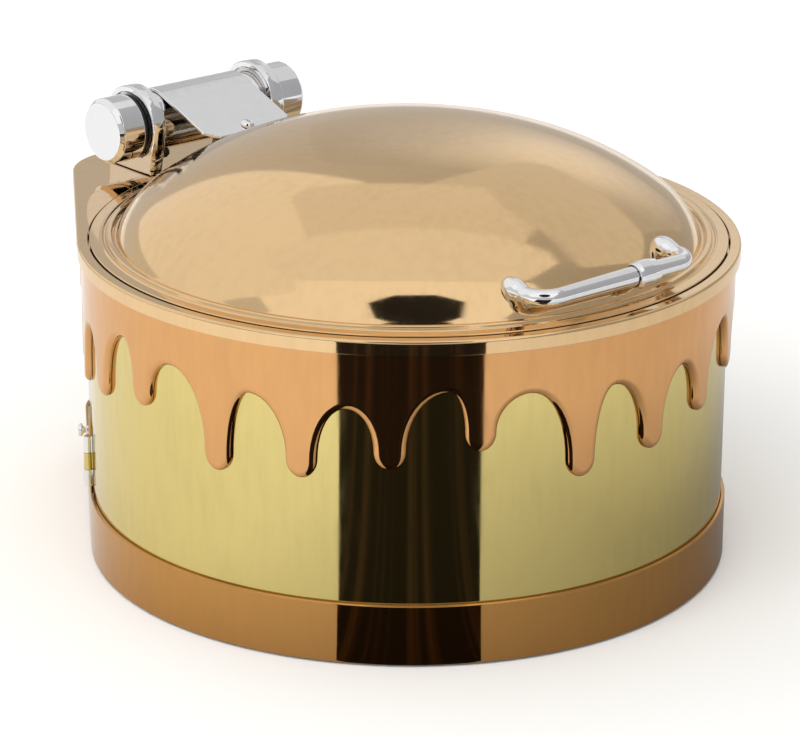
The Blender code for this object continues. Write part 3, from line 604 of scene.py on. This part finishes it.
class CHAFER_OT_drips(bpy.types.Operator):
    """Drip skirt: pressed sheet standing off the drum, its dripping edge rounded over by a quarter ellipse."""
    bl_idname = "chafer.drips"
    bl_label = "Drip skirt"

    def execute(self, context):
        s, z, in_s, in_z = drip_edge(11)
        out = DRIP_HIGH.x - DRUM_R
        radius = context.scene.chafer_sizes.drip_round
        rise = 0.85 * (out - GAP)
        top = DRIP_HIGH.z
        rings = [(0.0, GAP), (0.0, out - rise - 0.0002)]
        rings += [(radius * (1.0 - math.cos(a)), out - rise + rise * math.sin(a))
                  for a in np.linspace(0.0, math.pi / 2.0, 9)]
        rings.append((radius * 1.15, out))
        columns = []
        for inset, stand in rings:
            point, normal = plan(s + in_s * inset)
            columns.append(np.column_stack((point + normal * stand, z + in_z * inset)))
        flat = columns[-1]
        for share in (0.25, 0.55, 0.8, 1.0):
            columns.append(np.column_stack((flat[:, :2], flat[:, 2] + (top - flat[:, 2]) * share)))
        point, normal = plan(s)
        columns.append(np.column_stack((point + normal * GAP, np.full(len(s), top))))
        ring_piece("drip_sheet", np.stack(columns, 1), "Rose gold plate", "body", "drip_skirt")
        return {"FINISHED"}


class CHAFER_OT_deck(bpy.types.Operator):
    """Top plate: folded rim carried round the plan, flat deck, and a round well with a ledge for the pans."""
    bl_idname = "chafer.deck"
    bl_label = "Top deck"

    def execute(self, context):
        out = DECK_HIGH.x - DRUM_R
        low, top = DECK_LOW.z, DECK_HIGH.z
        fold = context.scene.chafer_sizes.fold_radius
        thick = 0.0014
        s = stations()
        point, normal = plan(s)
        radius = np.linalg.norm(point, axis=1)[:, None]
        outer = rounded(((out - SHEET, top - thick, 0.0), (out - SHEET, low, 0.0003), (out, low, 0.0003),
                         (out, top, fold), (out - 0.0040, top, 0.0)), closed=False)
        well = rounded(((OPENING_R + 0.0012, top, 0.0), (OPENING_R, top, 0.0004), (OPENING_R, LEDGE_TOP, 0.0005),
                        (LEDGE_R, LEDGE_TOP, 0.0005), (LEDGE_R, LEDGE_TOP - SHEET, 0.0002),
                        (OPENING_R + SHEET, LEDGE_TOP - SHEET, 0.0004), (OPENING_R + SHEET, top - thick, 0.0002),
                        (OPENING_R + 0.003, top - thick, 0.0)), closed=False, steps=4)
        ring = (point / radius)[:, None, :] * well[None, :, 0, None]
        ring = np.concatenate((ring, np.broadcast_to(well[None, :, 1, None], ring.shape[:2] + (1,))), 2)
        sheet = np.concatenate((carried(outer, s), ring), 1)
        ring_piece("deck_plate", sheet, "Deck gold plate", "body", "top_deck")
        return {"FINISHED"}


class CHAFER_OT_pans(bpy.types.Operator):
    """Water pan, food pan and lid seal: sheet sections with rolled lips turned about Z."""
    bl_idname = "chafer.pans"
    bl_label = "Pans and seal"

    def pan(self, name, node, wall, corner, steps):
        """Turned pan: flat floor, corner arc, upright wall and a flange with a rolled edge."""
        sheet, edge, inside = 0.0010, 0.00045, wall - 0.0010
        low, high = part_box(node)
        floor, rim = low.z, high.z - sheet
        section = rounded(((0.0, floor, 0.0), (wall, floor, corner), (wall, rim, 0.0004), (high.x, rim, edge),
                           (high.x, rim + sheet, edge), (inside, rim + sheet, 0.0022),
                           (inside, floor + sheet, corner - sheet), (0.0, floor + sheet, 0.0)), closed=False, steps=9)
        turned_piece(name, turned(section, steps), "Satin steel", "body", node)

    def execute(self, context):
        steps = context.scene.chafer_sizes.turn_steps
        self.pan("water_bath", "water_pan", 0.1755, 0.018, steps)
        self.pan("food_dish", "food_pan", 0.1700, 0.020, steps)
        outer, inner, low, top = SEAL_HIGH.x, 0.1915, SEAL_LOW.z, SEAL_HIGH.z
        section = rounded(((inner, low, 0.0004), (outer, low, 0.0004), (outer, top, 0.0016), (inner, top, 0.0016)))
        ring_piece("seal_ring", turned(section, steps), "Black rubber", "body", "lid_seal")
        return {"FINISHED"}


# ---------------------------------------------------------------- lid and handle
def dome_height(radius):
    """Height of the dome: a power-law crown, then one arc that leaves it tangentially and ends at the edge."""
    rise = LID_HIGH.z - DOME_Z
    start = math.atan(rise * DOME_POWER / DOME_R * (DOME_TURN / DOME_R) ** (DOME_POWER - 1.0))
    turn_z = DOME_Z + rise * (1.0 - (DOME_TURN / DOME_R) ** DOME_POWER)
    end = 2.0 * math.atan2(turn_z - DOME_EDGE_Z, DOME_EDGE - DOME_TURN) - start
    shoulder = (DOME_EDGE - DOME_TURN) / (math.sin(end) - math.sin(start))
    sine = math.sin(start) + np.maximum(radius - DOME_TURN, 0.0) / shoulder
    crown = DOME_Z + rise * (1.0 - (radius / DOME_R) ** DOME_POWER)
    return np.where(radius <= DOME_TURN, crown, turn_z - shoulder * (math.cos(start) - np.sqrt(1.0 - sine * sine)))


class CHAFER_OT_lid(bpy.types.Operator):
    """Lid: dome with a rounded shoulder, two grooves with a bead between, and a flat flange, turned as one sheet."""
    bl_idname = "chafer.lid"
    bl_label = "Lid"

    def execute(self, context):
        flange, top, under, edge = LID_HIGH.x, FLANGE_TOP, LID_LOW.z, DOME_EDGE
        groove, bead, second_groove, roll = 0.2045, 0.2062, 0.2042, 0.2050     # heights of the rings round the edge
        rim = [(edge, DOME_EDGE_Z, 0.0)]
        rim += [(edge + out, z, radius) for out, z, radius in (
            (0.0008, groove, 0.0005), (0.0018, groove, 0.0006), (0.0034, bead, 0.0014), (0.0066, bead, 0.0011),
            (0.0074, second_groove, 0.0004), (0.0084, second_groove, 0.0004), (0.0093, roll, 0.0007),
            (0.0108, top, 0.0012))]
        rim += [(flange, top, 0.0006), (flange, under, 0.0006), (edge + 0.0002, under, 0.0004),
                (edge - 0.0011, 0.2046, 0.0006), (edge - LID_SETBACK, 0.2062, 0.0)]
        rim = rounded(rim, closed=False, steps=6)[1:-1]
        outer_r = edge * np.sin(np.linspace(0.0, math.pi / 2.0, 72))
        outer = np.stack((outer_r, dome_height(outer_r)), 1)
        inner_r = (edge - LID_SETBACK) * np.sin(np.linspace(math.pi / 2.0, 0.0, 44))
        lean = 0.0008 * inner_r / edge
        inner = np.stack((inner_r, dome_height(inner_r + lean) - 0.00120 - lean), 1)
        section = turned(np.concatenate((outer, rim, inner)), context.scene.chafer_sizes.turn_steps)
        turned_piece("lid_dome", section, "Lid gold plate", "lid", "lid_shell")
        dress("Satin steel", *(kind + "_screw_" + word for kind in ("handle", "block") for word, _ in SIDES))
        return {"FINISHED"}


class CHAFER_OT_handle(bpy.types.Operator):
    """Handle: cast arms of round section swept from bulb feet round a bend, joined under a tapered collar."""
    bl_idname = "chafer.handle"
    bl_label = "Handle"

    def arm(self, word, side, end_x):
        """Bulb, neck, quarter-circle bend and a bar that thickens slightly towards the collar."""
        foot = HANDLE_FOOT * (side, 1.0, 1.0) + (HANDLE_SHIFT, 0.0, 0.0)
        bend = HANDLE_BEND * (side, 1.0, 1.0) + (HANDLE_SHIFT, 0.0, 0.0)
        corner, crest = 0.014, 0.48
        t = 0.5 - 0.5 * np.cos(np.linspace(0.0, math.pi, 30))
        start, end = foot + (0.0, 0.0092, 0.0009), np.array((bend[0], bend[1] + corner, bend[2]))
        neck = start + (end - start) * t[:, None]
        back = 0.0068 * np.sqrt(np.clip(1.0 - (1.0 - t / crest) ** 2, 0.0, 1.0))
        front = 0.0050 + 0.0018 * (0.5 + 0.5 * np.cos(math.pi * np.clip((t - crest) / (1.0 - crest), 0.0, 1.0)))
        neck_r = np.maximum(np.where(t < crest, back, front), 0.0004)
        angle = np.linspace(0.0, math.pi / 2.0, 16)[1:]
        turn = np.array((bend[0] - corner * side, bend[1] + corner, bend[2]))
        curve = turn + np.stack((corner * side * np.cos(angle), -corner * np.sin(angle), 0.0 * angle), 1)
        curve_r = 0.0050 + 0.0003 * np.sin(angle)
        x = np.linspace(turn[0], end_x, 14)[1:]
        bar = np.stack((x, np.full(13, bend[1]), np.full(13, bend[2])), 1)
        bar_r = 0.0053 + (BAR_R - 0.0053) * np.linspace(0.08, 1.0, 13)
        points = swept(np.concatenate((neck, curve, bar)), np.concatenate((neck_r, curve_r, bar_r)), 40)
        rod_piece("handle_bar_" + word, points, "Polished chrome", "lid", "handle_arm_" + word, sharp=60.0)

    def execute(self, context):
        low, high = COLLAR_LOW.x, COLLAR_HIGH.x
        for word, side in SIDES:
            self.arm(word, side, (low + high) / 2.0 + GAP * side)
        radius = (COLLAR_HIGH.z - COLLAR_LOW.z) / 2.0
        bore = BAR_R + GAP
        section = rounded(((bore, low, 0.0001), (radius - 0.0010, low, 0.0006), (radius, low + 0.0030, 0.0040),
                           (radius, low + 0.0110, 0.0050), (radius - 0.0009, high, 0.0006),
                           (bore, high, 0.0001)), steps=9)
        ferrule = turned(section, 64, "X", (0.0, HANDLE_BEND[1], HANDLE_BEND[2]))
        ring_piece("handle_ferrule", ferrule, "Polished chrome", "lid", "handle_collar")
        return {"FINISHED"}


# ---------------------------------------------------------------- hinge
class CHAFER_OT_hinge_caps(bpy.types.Operator):
    """Hinge tube, end caps with a chamfered face, black rings and bushes: sections turned about the hinge line."""
    bl_idname = "chafer.hinge_caps"
    bl_label = "Hinge tube and caps"

    def execute(self, context):
        cap_r = (CAP_HIGH.z - CAP_LOW.z) / 2.0
        cap_in, cap_out = CAP_LOW.x, CAP_HIGH.x
        ring_r = (RING_HIGH.z - RING_LOW.z) / 2.0
        bore = 0.0063
        for word, side in SIDES:
            cap = ((0.0, cap_out, 0.0), (cap_r - 0.0026, cap_out, 0.0012), (cap_r, cap_out - 0.0030, 0.0022),
                   (cap_r, cap_in, 0.0009), (bore, cap_in, 0.0003), (bore, cap_out - 0.0018, 0.0002),
                   (0.0, cap_out - 0.0018, 0.0))
            mirror = (1.0, side)
            end = turned(rounded(cap, closed=False, steps=9) * mirror, 128, "X", HINGE)
            turned_piece("hinge_end_" + word, end, "Polished chrome", "body", "hinge_cap_" + word)
            ring = ((bore, RING_LOW.x, 0.0), (ring_r, RING_LOW.x, 0.0003), (ring_r, RING_HIGH.x, 0.0003),
                    (bore, RING_HIGH.x, 0.0))
            washer = turned(rounded(ring) * mirror, 96, "X", HINGE)
            ring_piece("hinge_washer_" + word, washer, "Black moulding", "body", "cap_ring_" + word)
        wall = 0.003
        tube = ((TUBE_R, TUBE_LOW.x, 0.0004), (TUBE_R, TUBE_HIGH.x, 0.0004), (TUBE_R - wall, TUBE_HIGH.x, 0.0003),
                (TUBE_R - wall, TUBE_LOW.x, 0.0003))
        ring_piece("hinge_barrel", turned(rounded(tube), 128, "X", HINGE), "Polished chrome", "lid", "hinge_tube")
        dress("Satin steel", "hinge_axle", "hinge_bush_left", "hinge_bush_right")
        dress("Black rubber", "damper_core")
        return {"FINISHED"}


class CHAFER_OT_hinge_cheeks(bpy.types.Operator):
    """Hinge cheeks: thick plates with a round head and straight legs, rounded edges and a bore for the bush.

    The outline is taken by angle about the bore, so one grid runs from the bore's wall out to the rim and back.
    """
    bl_idname = "chafer.hinge_cheeks"
    bl_label = "Hinge cheeks"

    def outline(self, inset):
        """Outline of the plate pulled in by a distance: head arc above the hinge line, tapered leg below it."""
        head = CHEEK_HIGH.z - HINGE.z - inset
        drop = HINGE.z - CHEEK_LOW.z - inset
        front, back = (y - HINGE.y for y in CHEEK_FEET)
        up = np.linspace(0.0, math.pi, 61)
        arc = np.stack((head * np.cos(up), head * np.sin(up)), 1)
        legs = rounded(((-head, 0.0, 0.0), (front + inset, -drop, 0.0006), (back - inset, -drop, 0.0006),
                        (head, 0.0, 0.0)), closed=False, steps=4)
        return np.concatenate((arc, legs[1:-1]))

    def execute(self, context):
        bore, lead, edge = 0.0225, 0.0004, 0.0009
        rim = self.outline(0.0)
        around = rim / np.linalg.norm(rim, axis=1)[:, None]
        half = ((around * bore, lead), (around * (bore + lead), 0.0), (self.outline(edge * 1.2), 0.0),
                (self.outline(edge), 0.0), (self.outline(edge * 0.29), edge * 0.29), (rim, edge))
        rings = [(ring, CHEEK_LOW.x + depth) for ring, depth in half]
        rings += [(ring, CHEEK_HIGH.x - depth) for ring, depth in half[::-1]]
        bolt = rounded(((0.0, 0.0, 0.0), (0.0022, 0.0, 0.0001), (0.0022, 0.0022, 0.0003), (0.0036, 0.0024, 0.0004),
                        (0.0036, 0.0048, 0.0012), (0.0026, 0.0068, 0.0010), (0.0012, 0.0070, 0.0002),
                        (0.0011, 0.0060, 0.0002), (0.0, 0.0060, 0.0)), closed=False, steps=5)
        for word, side in SIDES:
            grid = [np.column_stack((np.full(len(ring), depth * side), ring + (HINGE.y, HINGE.z)))
                    for ring, depth in rings]
            ring_piece("hinge_plate_" + word, np.stack(grid, 1), "Polished chrome", "body", "hinge_cheek_" + word,
                       sharp=35.0)
            seat = np.array(((CHEEK_LOW.x - GAP) * side, 0.1985, 0.2165))
            turned_piece("stop_bolt_" + word, turned_on(bolt, 48, seat, (-side, 0.0, 0.0)), "Black moulding", "body",
                         "stop_screw_" + word)
        return {"FINISHED"}


def leaf_point(along, above):
    """Point in the hinge's middle plane: along the leaf towards the front edge, above its underside."""
    down = np.array((0.0, -math.cos(LEAF_TILT), -math.sin(LEAF_TILT)))
    up = np.array((0.0, -math.sin(LEAF_TILT), math.cos(LEAF_TILT)))
    return np.array(HINGE) + up * (TUBE_R + GAP + above) + down * along


class CHAFER_OT_leaf(bpy.types.Operator):
    """Hinge leaf: a rounded flat bar carried from behind the tube, over it and straight down to the dome."""
    bl_idname = "chafer.leaf"
    bl_label = "Hinge leaf"

    def execute(self, context):
        half = LEAF_HIGH.x
        middle_r = TUBE_R + GAP + LEAF_SHEET / 2.0
        angle = math.pi / 2.0 + LEAF_TILT - np.radians(np.linspace(60.0, 0.0, 20))
        wrap = np.stack((0.0 * angle, HINGE.y + middle_r * np.cos(angle), HINGE.z + middle_r * np.sin(angle)), 1)
        along = np.array((0.006, 0.020, 0.036, 0.0470, *(LEAF_LENGTH - np.array((76, 74, 50, 25, 0)) * 1e-4)))
        path = np.concatenate((wrap, [leaf_point(a, LEAF_SHEET / 2.0) for a in along]))
        taper = 0.0085 * np.clip((along - LEAF_LENGTH + 0.0075) / 0.0075, 0, 1)
        widths = np.concatenate((np.full(20, half), half - taper))
        run = np.gradient(path, axis=0)
        run /= np.linalg.norm(run, axis=1)[:, None]
        rise = np.stack((0.0 * run[:, 0], -run[:, 2], run[:, 1]), 1)
        rise *= np.sign(np.sum(rise * (path - np.array(HINGE)), 1))[:, None]
        last = len(path) - 1
        levels = ((0.00075, 0.0), (0.0002, 0.0004), (0.0, 0.0010))   # how far a section is pulled in and pushed on
        rows = []
        for k, level in [(0, 0), (0, 1)] + [(k, 2) for k in range(last + 1)] + [(last, 1), (last, 0)]:
            ease, push = levels[level]
            w, h = widths[k] - ease, LEAF_SHEET / 2.0 - ease
            corner = min(0.0006, h * 0.9)
            section = rounded(((w, -h, corner), (w, h, corner), (-w, h, corner), (-w, -h, corner)), steps=4)
            place = path[k] + run[k] * push * ((k == 0) - (k == last))
            rows.append(place + section[:, :1] * np.array((1.0, 0.0, 0.0)) + section[:, 1:] * rise[k])
        rod_piece("hinge_strap", np.stack(rows), "Chrome on sheet", "lid", "hinge_leaf", sharp=45.0)
        up = leaf_point(0.0, 1.0) - leaf_point(0.0, 0.0)
        head = rounded(((0.0, -0.0044 - 2 * GAP, 0.0), (0.0020, -0.0044 - 2 * GAP, 0.0002), (0.0020, 0.0, 0.0001),
                        (0.0046, 0.0, 0.0003), (0.0044, 0.0014, 0.0012), (0.0030, 0.0027, 0.0016),
                        (0.0013, 0.0032, 0.0002), (0.0011, 0.0020, 0.0001), (0.0, 0.0020, 0.0)),
                       closed=False, steps=6)
        turned_piece("strap_bolt", turned_on(head, 64, leaf_point(SCREW_ALONG, LEAF_SHEET + GAP), up),
                     "Polished chrome", "lid", "leaf_screw")
        dress("Satin steel", "leaf_block")
        return {"FINISHED"}


# ---------------------------------------------------------------- door and burner
def flank_point(along, out, z):
    """Point on the left flank: metres back along it, out from the wall, and up."""
    normal = np.array((-math.cos(FLANK), math.sin(FLANK), 0.0))
    back = np.array((math.sin(FLANK), math.cos(FLANK), 0.0))
    return normal * (DRUM_R + out) + back * along + np.array((0.0, 0.0, z))


class CHAFER_OT_door(bpy.types.Operator):
    """Side door: knob turned about the flank's normal; panel and hinge pin keep the frame's own solids."""
    bl_idname = "chafer.door"
    bl_label = "Side door"

    def execute(self, context):
        outward = flank_point(0.0, 1.0, 0.0) - flank_point(0.0, 0.0, 0.0)
        seat = flank_point(DOOR_ALONG[1] - 0.0080, 2.0 * GAP + SHEET, (DOOR_Z[0] + DOOR_Z[1]) / 2.0 + 0.0035)
        knob = rounded(((0.0, 0.0, 0.0), (0.0030, 0.0, 0.0002), (0.0018, 0.0014, 0.0008), (0.0020, 0.0028, 0.0006),
                        (0.0042, 0.0044, 0.0008), (0.0040, 0.0066, 0.0010), (0.0, 0.0070, 0.0)), closed=False)
        turned_piece("door_pull", turned_on(knob, 64, seat, outward), "Polished chrome", "side_door", "door_knob")
        dress("Pale gold plate", "side_door")
        dress("Polished chrome", "door_hinge_pin")
        return {"FINISHED"}


class CHAFER_OT_burner(bpy.types.Operator):
    """Burner cup and its swinging cover, in satin steel."""
    bl_idname = "chafer.burner"
    bl_label = "Burner"

    def execute(self, context):
        dress("Satin steel", "burner_cup", "burner_lid")
        return {"FINISHED"}


# ---------------------------------------------------------------- studio
def stage_mesh(name, points, faces, material):
    """Flat stage piece from corner points."""
    mesh = bpy.data.meshes.new(name)
    mesh.from_pydata(points, [], faces)
    mesh.materials.append(material)
    obj = bpy.data.objects.new(name, mesh)
    bpy.context.scene.collection.objects.link(obj)
    return obj


def plain(name, colour, strength=0.0):
    """Matt stage paint, or a glowing panel when strength is above zero."""
    material, _, shader = new_material(name, colour)
    glow = strength > 0.0
    shader["Base Color"].default_value = (0.0, 0.0, 0.0, 1.0) if glow else (*colour, 1.0)
    shader["Roughness"].default_value = 0.9
    shader["Specular IOR Level"].default_value = 0.1
    if glow:
        shader["Emission Color"].default_value = (*colour, 1.0)
        shader["Emission Strength"].default_value = strength
    return material


def feed(material, value, socket):
    """Link a value to the material's Principled shader."""
    material.node_tree.links.new(value, material.node_tree.nodes["Principled BSDF"].inputs[socket])


def seen_from(azimuth, elevation, distance):
    """Point at an azimuth from the camera's side (degrees, towards +X), an elevation and a distance."""
    a, e = CAMERA_AZIMUTH - math.radians(azimuth), math.radians(elevation)
    return Vector((-math.sin(a) * math.cos(e), -math.cos(a) * math.cos(e), math.sin(e))) * distance


def panel(name, azimuth, elevation, distance, width, height, material, cut=0.12):
    """Panel with cut corners facing the object, hidden from the camera but seen in reflections."""
    centre = seen_from(azimuth, elevation, distance)
    turn = (-centre).to_track_quat("-Z", "Y").to_matrix()
    w, h = width / 2.0, height / 2.0
    c = cut * min(width, height)
    outline = ((c - w, -h), (w - c, -h), (w, c - h), (w, h - c), (w - c, h), (c - w, h), (-w, h - c), (-w, c - h))
    corners = [tuple(centre + turn @ Vector((x, y, 0.0))) for x, y in outline]
    obj = stage_mesh(name, corners, [tuple(range(8))], material)
    obj.visible_camera = False
    return obj


class CHAFER_OT_stage(bpy.types.Operator):
    """Studio: pale floor, soft panels overhead and at the sides, a dark strip and a card towards the camera."""
    bl_idname = "chafer.stage"
    bl_label = "Studio"

    def floor(self):
        """White floor that glows a little more with distance, so that it stays white far behind the object."""
        white = plain("Studio white", (0.95, 0.95, 0.95))
        tree = white.node_tree
        out = vector_maths(tree, "LENGTH", object_place(tree))
        feed(white, ranged(tree, out, 0.35, 1.6, 0.06, 0.34), "Emission Color")
        tree.nodes["Principled BSDF"].inputs["Emission Strength"].default_value = 1.0
        reach = 14.0
        stage_mesh("studio_floor", [(-reach, -reach, 0), (reach, -reach, 0), (reach, reach, 0), (-reach, reach, 0)],
                   [(0, 1, 2, 3)], white)

    def reflected_only(self, obj):
        obj.visible_camera = False
        obj.visible_diffuse = False
        obj.visible_shadow = False

    def to_the_right(self, tree, place):
        """Distance to the camera's right."""
        return vector_maths(tree, "DOT_PRODUCT", place, tuple(seen_from(90.0, 0.0, 1.0)))

    def floor_shade(self):
        """Ring of floor that darkens towards the base and to the right, as the wall sees it."""
        material = plain("Studio shade", (0.9, 0.9, 0.9))
        tree = material.node_tree
        place = object_place(tree)
        right = self.to_the_right(tree, place)
        inner = ranged(tree, right, -0.25, 0.30, 0.86, 0.24)
        outer = ranged(tree, right, -0.20, 0.90, 0.97, 0.80)
        feed(material, ranged(tree, vector_maths(tree, "LENGTH", place), 0.20, 0.62, inner, outer), "Base Color")
        ring = [tuple(seen_from(a, 0.0, r) + Vector((0.0, 0.0, 0.0003))) for r in (0.06, 2.2)
                for a in range(0, 360, 5)]
        faces = [(i, (i + 1) % 72, 72 + (i + 1) % 72, 72 + i) for i in range(72)]
        self.reflected_only(stage_mesh("floor_shade", ring, faces, material))

    def dark_path(self):
        """Dark strip of floor from just before the base out to the camera, seen in the wall as an upright band."""
        dark = plain("Studio dark", (0.012, 0.010, 0.009))
        tree = dark.node_tree
        place = object_place(tree)
        sine = maths(tree, "DIVIDE", self.to_the_right(tree, place), vector_maths(tree, "LENGTH", place))
        ramp = add_node(tree, "ShaderNodeValToRGB", ((noise_along(tree, sine, 18.0, 2.0), "Fac"),))
        stops = ((0.50, (0.006, 0.004, 0.003, 1.0)), (0.72, (0.045, 0.026, 0.016, 1.0)))
        for element, (position, colour) in zip(ramp.color_ramp.elements, stops):
            element.position, element.color = position, colour
        feed(dark, ramp.outputs["Color"], "Base Color")
        corners = []
        for turn, reach in ((-12.0, 0.0), (-12.0, 5.0), (13.0, 5.0), (13.0, 0.0)):
            start = seen_from(turn, 0.0, BASE_HIGH.x + 0.004)
            corners.append(tuple(start + seen_from(2.0 * turn, 0.0, 1.0) * reach + Vector((0, 0, 0.0006))))
        self.reflected_only(stage_mesh("dark_path", corners, [(0, 1, 2, 3)], dark))

    def lights(self):
        """The key lights the floor and the matt pieces; the other panels are what the plating reflects."""
        for name, azimuth, elevation, distance, width, height, strength in (
                ("soft_key", -28.0, 48.0, 3.4, 2.6, 2.0, 4.6),
                ("soft_front", -10.0, 58.0, 3.2, 5.4, 3.6, 1.08),
                ("soft_zenith", 180.0, 86.0, 2.4, 2.6, 1.1, 0.94),
                ("soft_slope", 176.0, 66.0, 2.6, 1.8, 1.5, 0.84),
                ("soft_left", -116.0, 42.0, 2.6, 3.8, 2.6, 0.97),
                ("soft_right", 140.0, 46.0, 2.6, 2.2, 1.1, 0.74)):
            glow = plain(name + "_glow", (1.0, 0.99, 0.97), strength)
            lit = panel(name, azimuth, elevation, distance, width, height, glow)
            lit.visible_glossy = name != "soft_key"
            lit.visible_shadow = False
        sheen = plain("soft_sheen_glow", (1.0, 1.0, 1.0), 1.0)
        tree = sheen.node_tree
        away = vector_maths(tree, "DISTANCE", object_place(tree), tuple(seen_from(164.0, 26.0, 3.0)))
        feed(sheen, ranged(tree, away, 0.10, 1.05, 0.95, 0.55, "SMOOTHSTEP"), "Emission Color")
        self.reflected_only(panel("soft_sheen", 164.0, 26.0, 3.0, 2.4, 1.5, sheen))
        card = plain("Studio card", (0.01, 0.01, 0.01))
        self.reflected_only(panel("dark_over", 4.0, 49.0, 1.7, 0.80, 0.94, card, cut=0.3))

    def world(self, scene):
        """Pale surroundings, dimmer on the right-hand side."""
        world = scene.world = bpy.data.worlds.new("Studio air")
        world.use_nodes = True
        tree = world.node_tree
        right = self.to_the_right(tree, add_node(tree, "ShaderNodeTexCoord").outputs["Generated"])
        tree.links.new(ranged(tree, right, -0.8, 0.9, 0.70, 0.42), tree.nodes["Background"].inputs["Color"])

    def camera(self, scene):
        data = bpy.data.cameras.new("camera")
        data.lens = CAMERA_LENS
        data.sensor_width = 36.0
        data.clip_start = 0.05
        data.clip_end = 60.0
        look = Vector(CAMERA_LOOK).normalized()
        right = look.cross(Vector((0.0, 0.0, 1.0))).normalized()
        up = right.cross(look)
        cos, sin = math.cos(CAMERA_ROLL), math.sin(CAMERA_ROLL)
        right, up = right * cos + up * sin, up * cos - right * sin
        obj = bpy.data.objects.new("camera", data)
        scene.collection.objects.link(obj)
        turn = Matrix((right, up, -look)).transposed().to_4x4()
        obj.matrix_world = Matrix.Translation(CAMERA_PLACE) @ turn
        scene.camera = obj

    def execute(self, context):
        self.floor()
        self.floor_shade()
        self.dark_path()
        self.lights()
        self.world(context.scene)
        self.camera(context.scene)
        context.scene.view_settings.view_transform = "Standard"
        return {"FINISHED"}


# ---------------------------------------------------------------- panel and registration
PIECE_OPERATORS = (CHAFER_OT_drum, CHAFER_OT_base, CHAFER_OT_drips, CHAFER_OT_deck, CHAFER_OT_pans, CHAFER_OT_lid,
                   CHAFER_OT_handle, CHAFER_OT_hinge_caps, CHAFER_OT_hinge_cheeks, CHAFER_OT_leaf, CHAFER_OT_door,
                   CHAFER_OT_burner, CHAFER_OT_stage)


class CHAFER_PT_panel(bpy.types.Panel):
    """Sizes, colours and one button for each piece."""
    bl_idname = "CHAFER_PT_panel"
    bl_label = "Domed chafer"
    bl_space_type = "VIEW_3D"
    bl_region_type = "UI"
    bl_category = "Chafer"

    def draw(self, context):
        column = self.layout.column()
        for group in (context.scene.chafer_sizes, context.scene.chafer_colours):
            for name in group.bl_rna.properties.keys():
                if name not in ("rna_type", "name"):
                    column.prop(group, name)
        for operator in PIECE_OPERATORS:
            column.operator(operator.bl_idname)


CLASSES = (ChaferSizes, ChaferColours, *PIECE_OPERATORS, CHAFER_PT_panel)


def register():
    for cls in CLASSES:
        bpy.utils.register_class(cls)
    bpy.types.Scene.chafer_sizes = bpy.props.PointerProperty(type=ChaferSizes)
    bpy.types.Scene.chafer_colours = bpy.props.PointerProperty(type=ChaferColours)


def unregister():
    del bpy.types.Scene.chafer_colours
    del bpy.types.Scene.chafer_sizes
    for cls in reversed(CLASSES):
        bpy.utils.unregister_class(cls)


def main():
    register()
    for operator in PIECE_OPERATORS:
        group, name = operator.bl_idname.split(".")
        getattr(getattr(bpy.ops, group), name)()


if __name__ == "__main__":
    main()
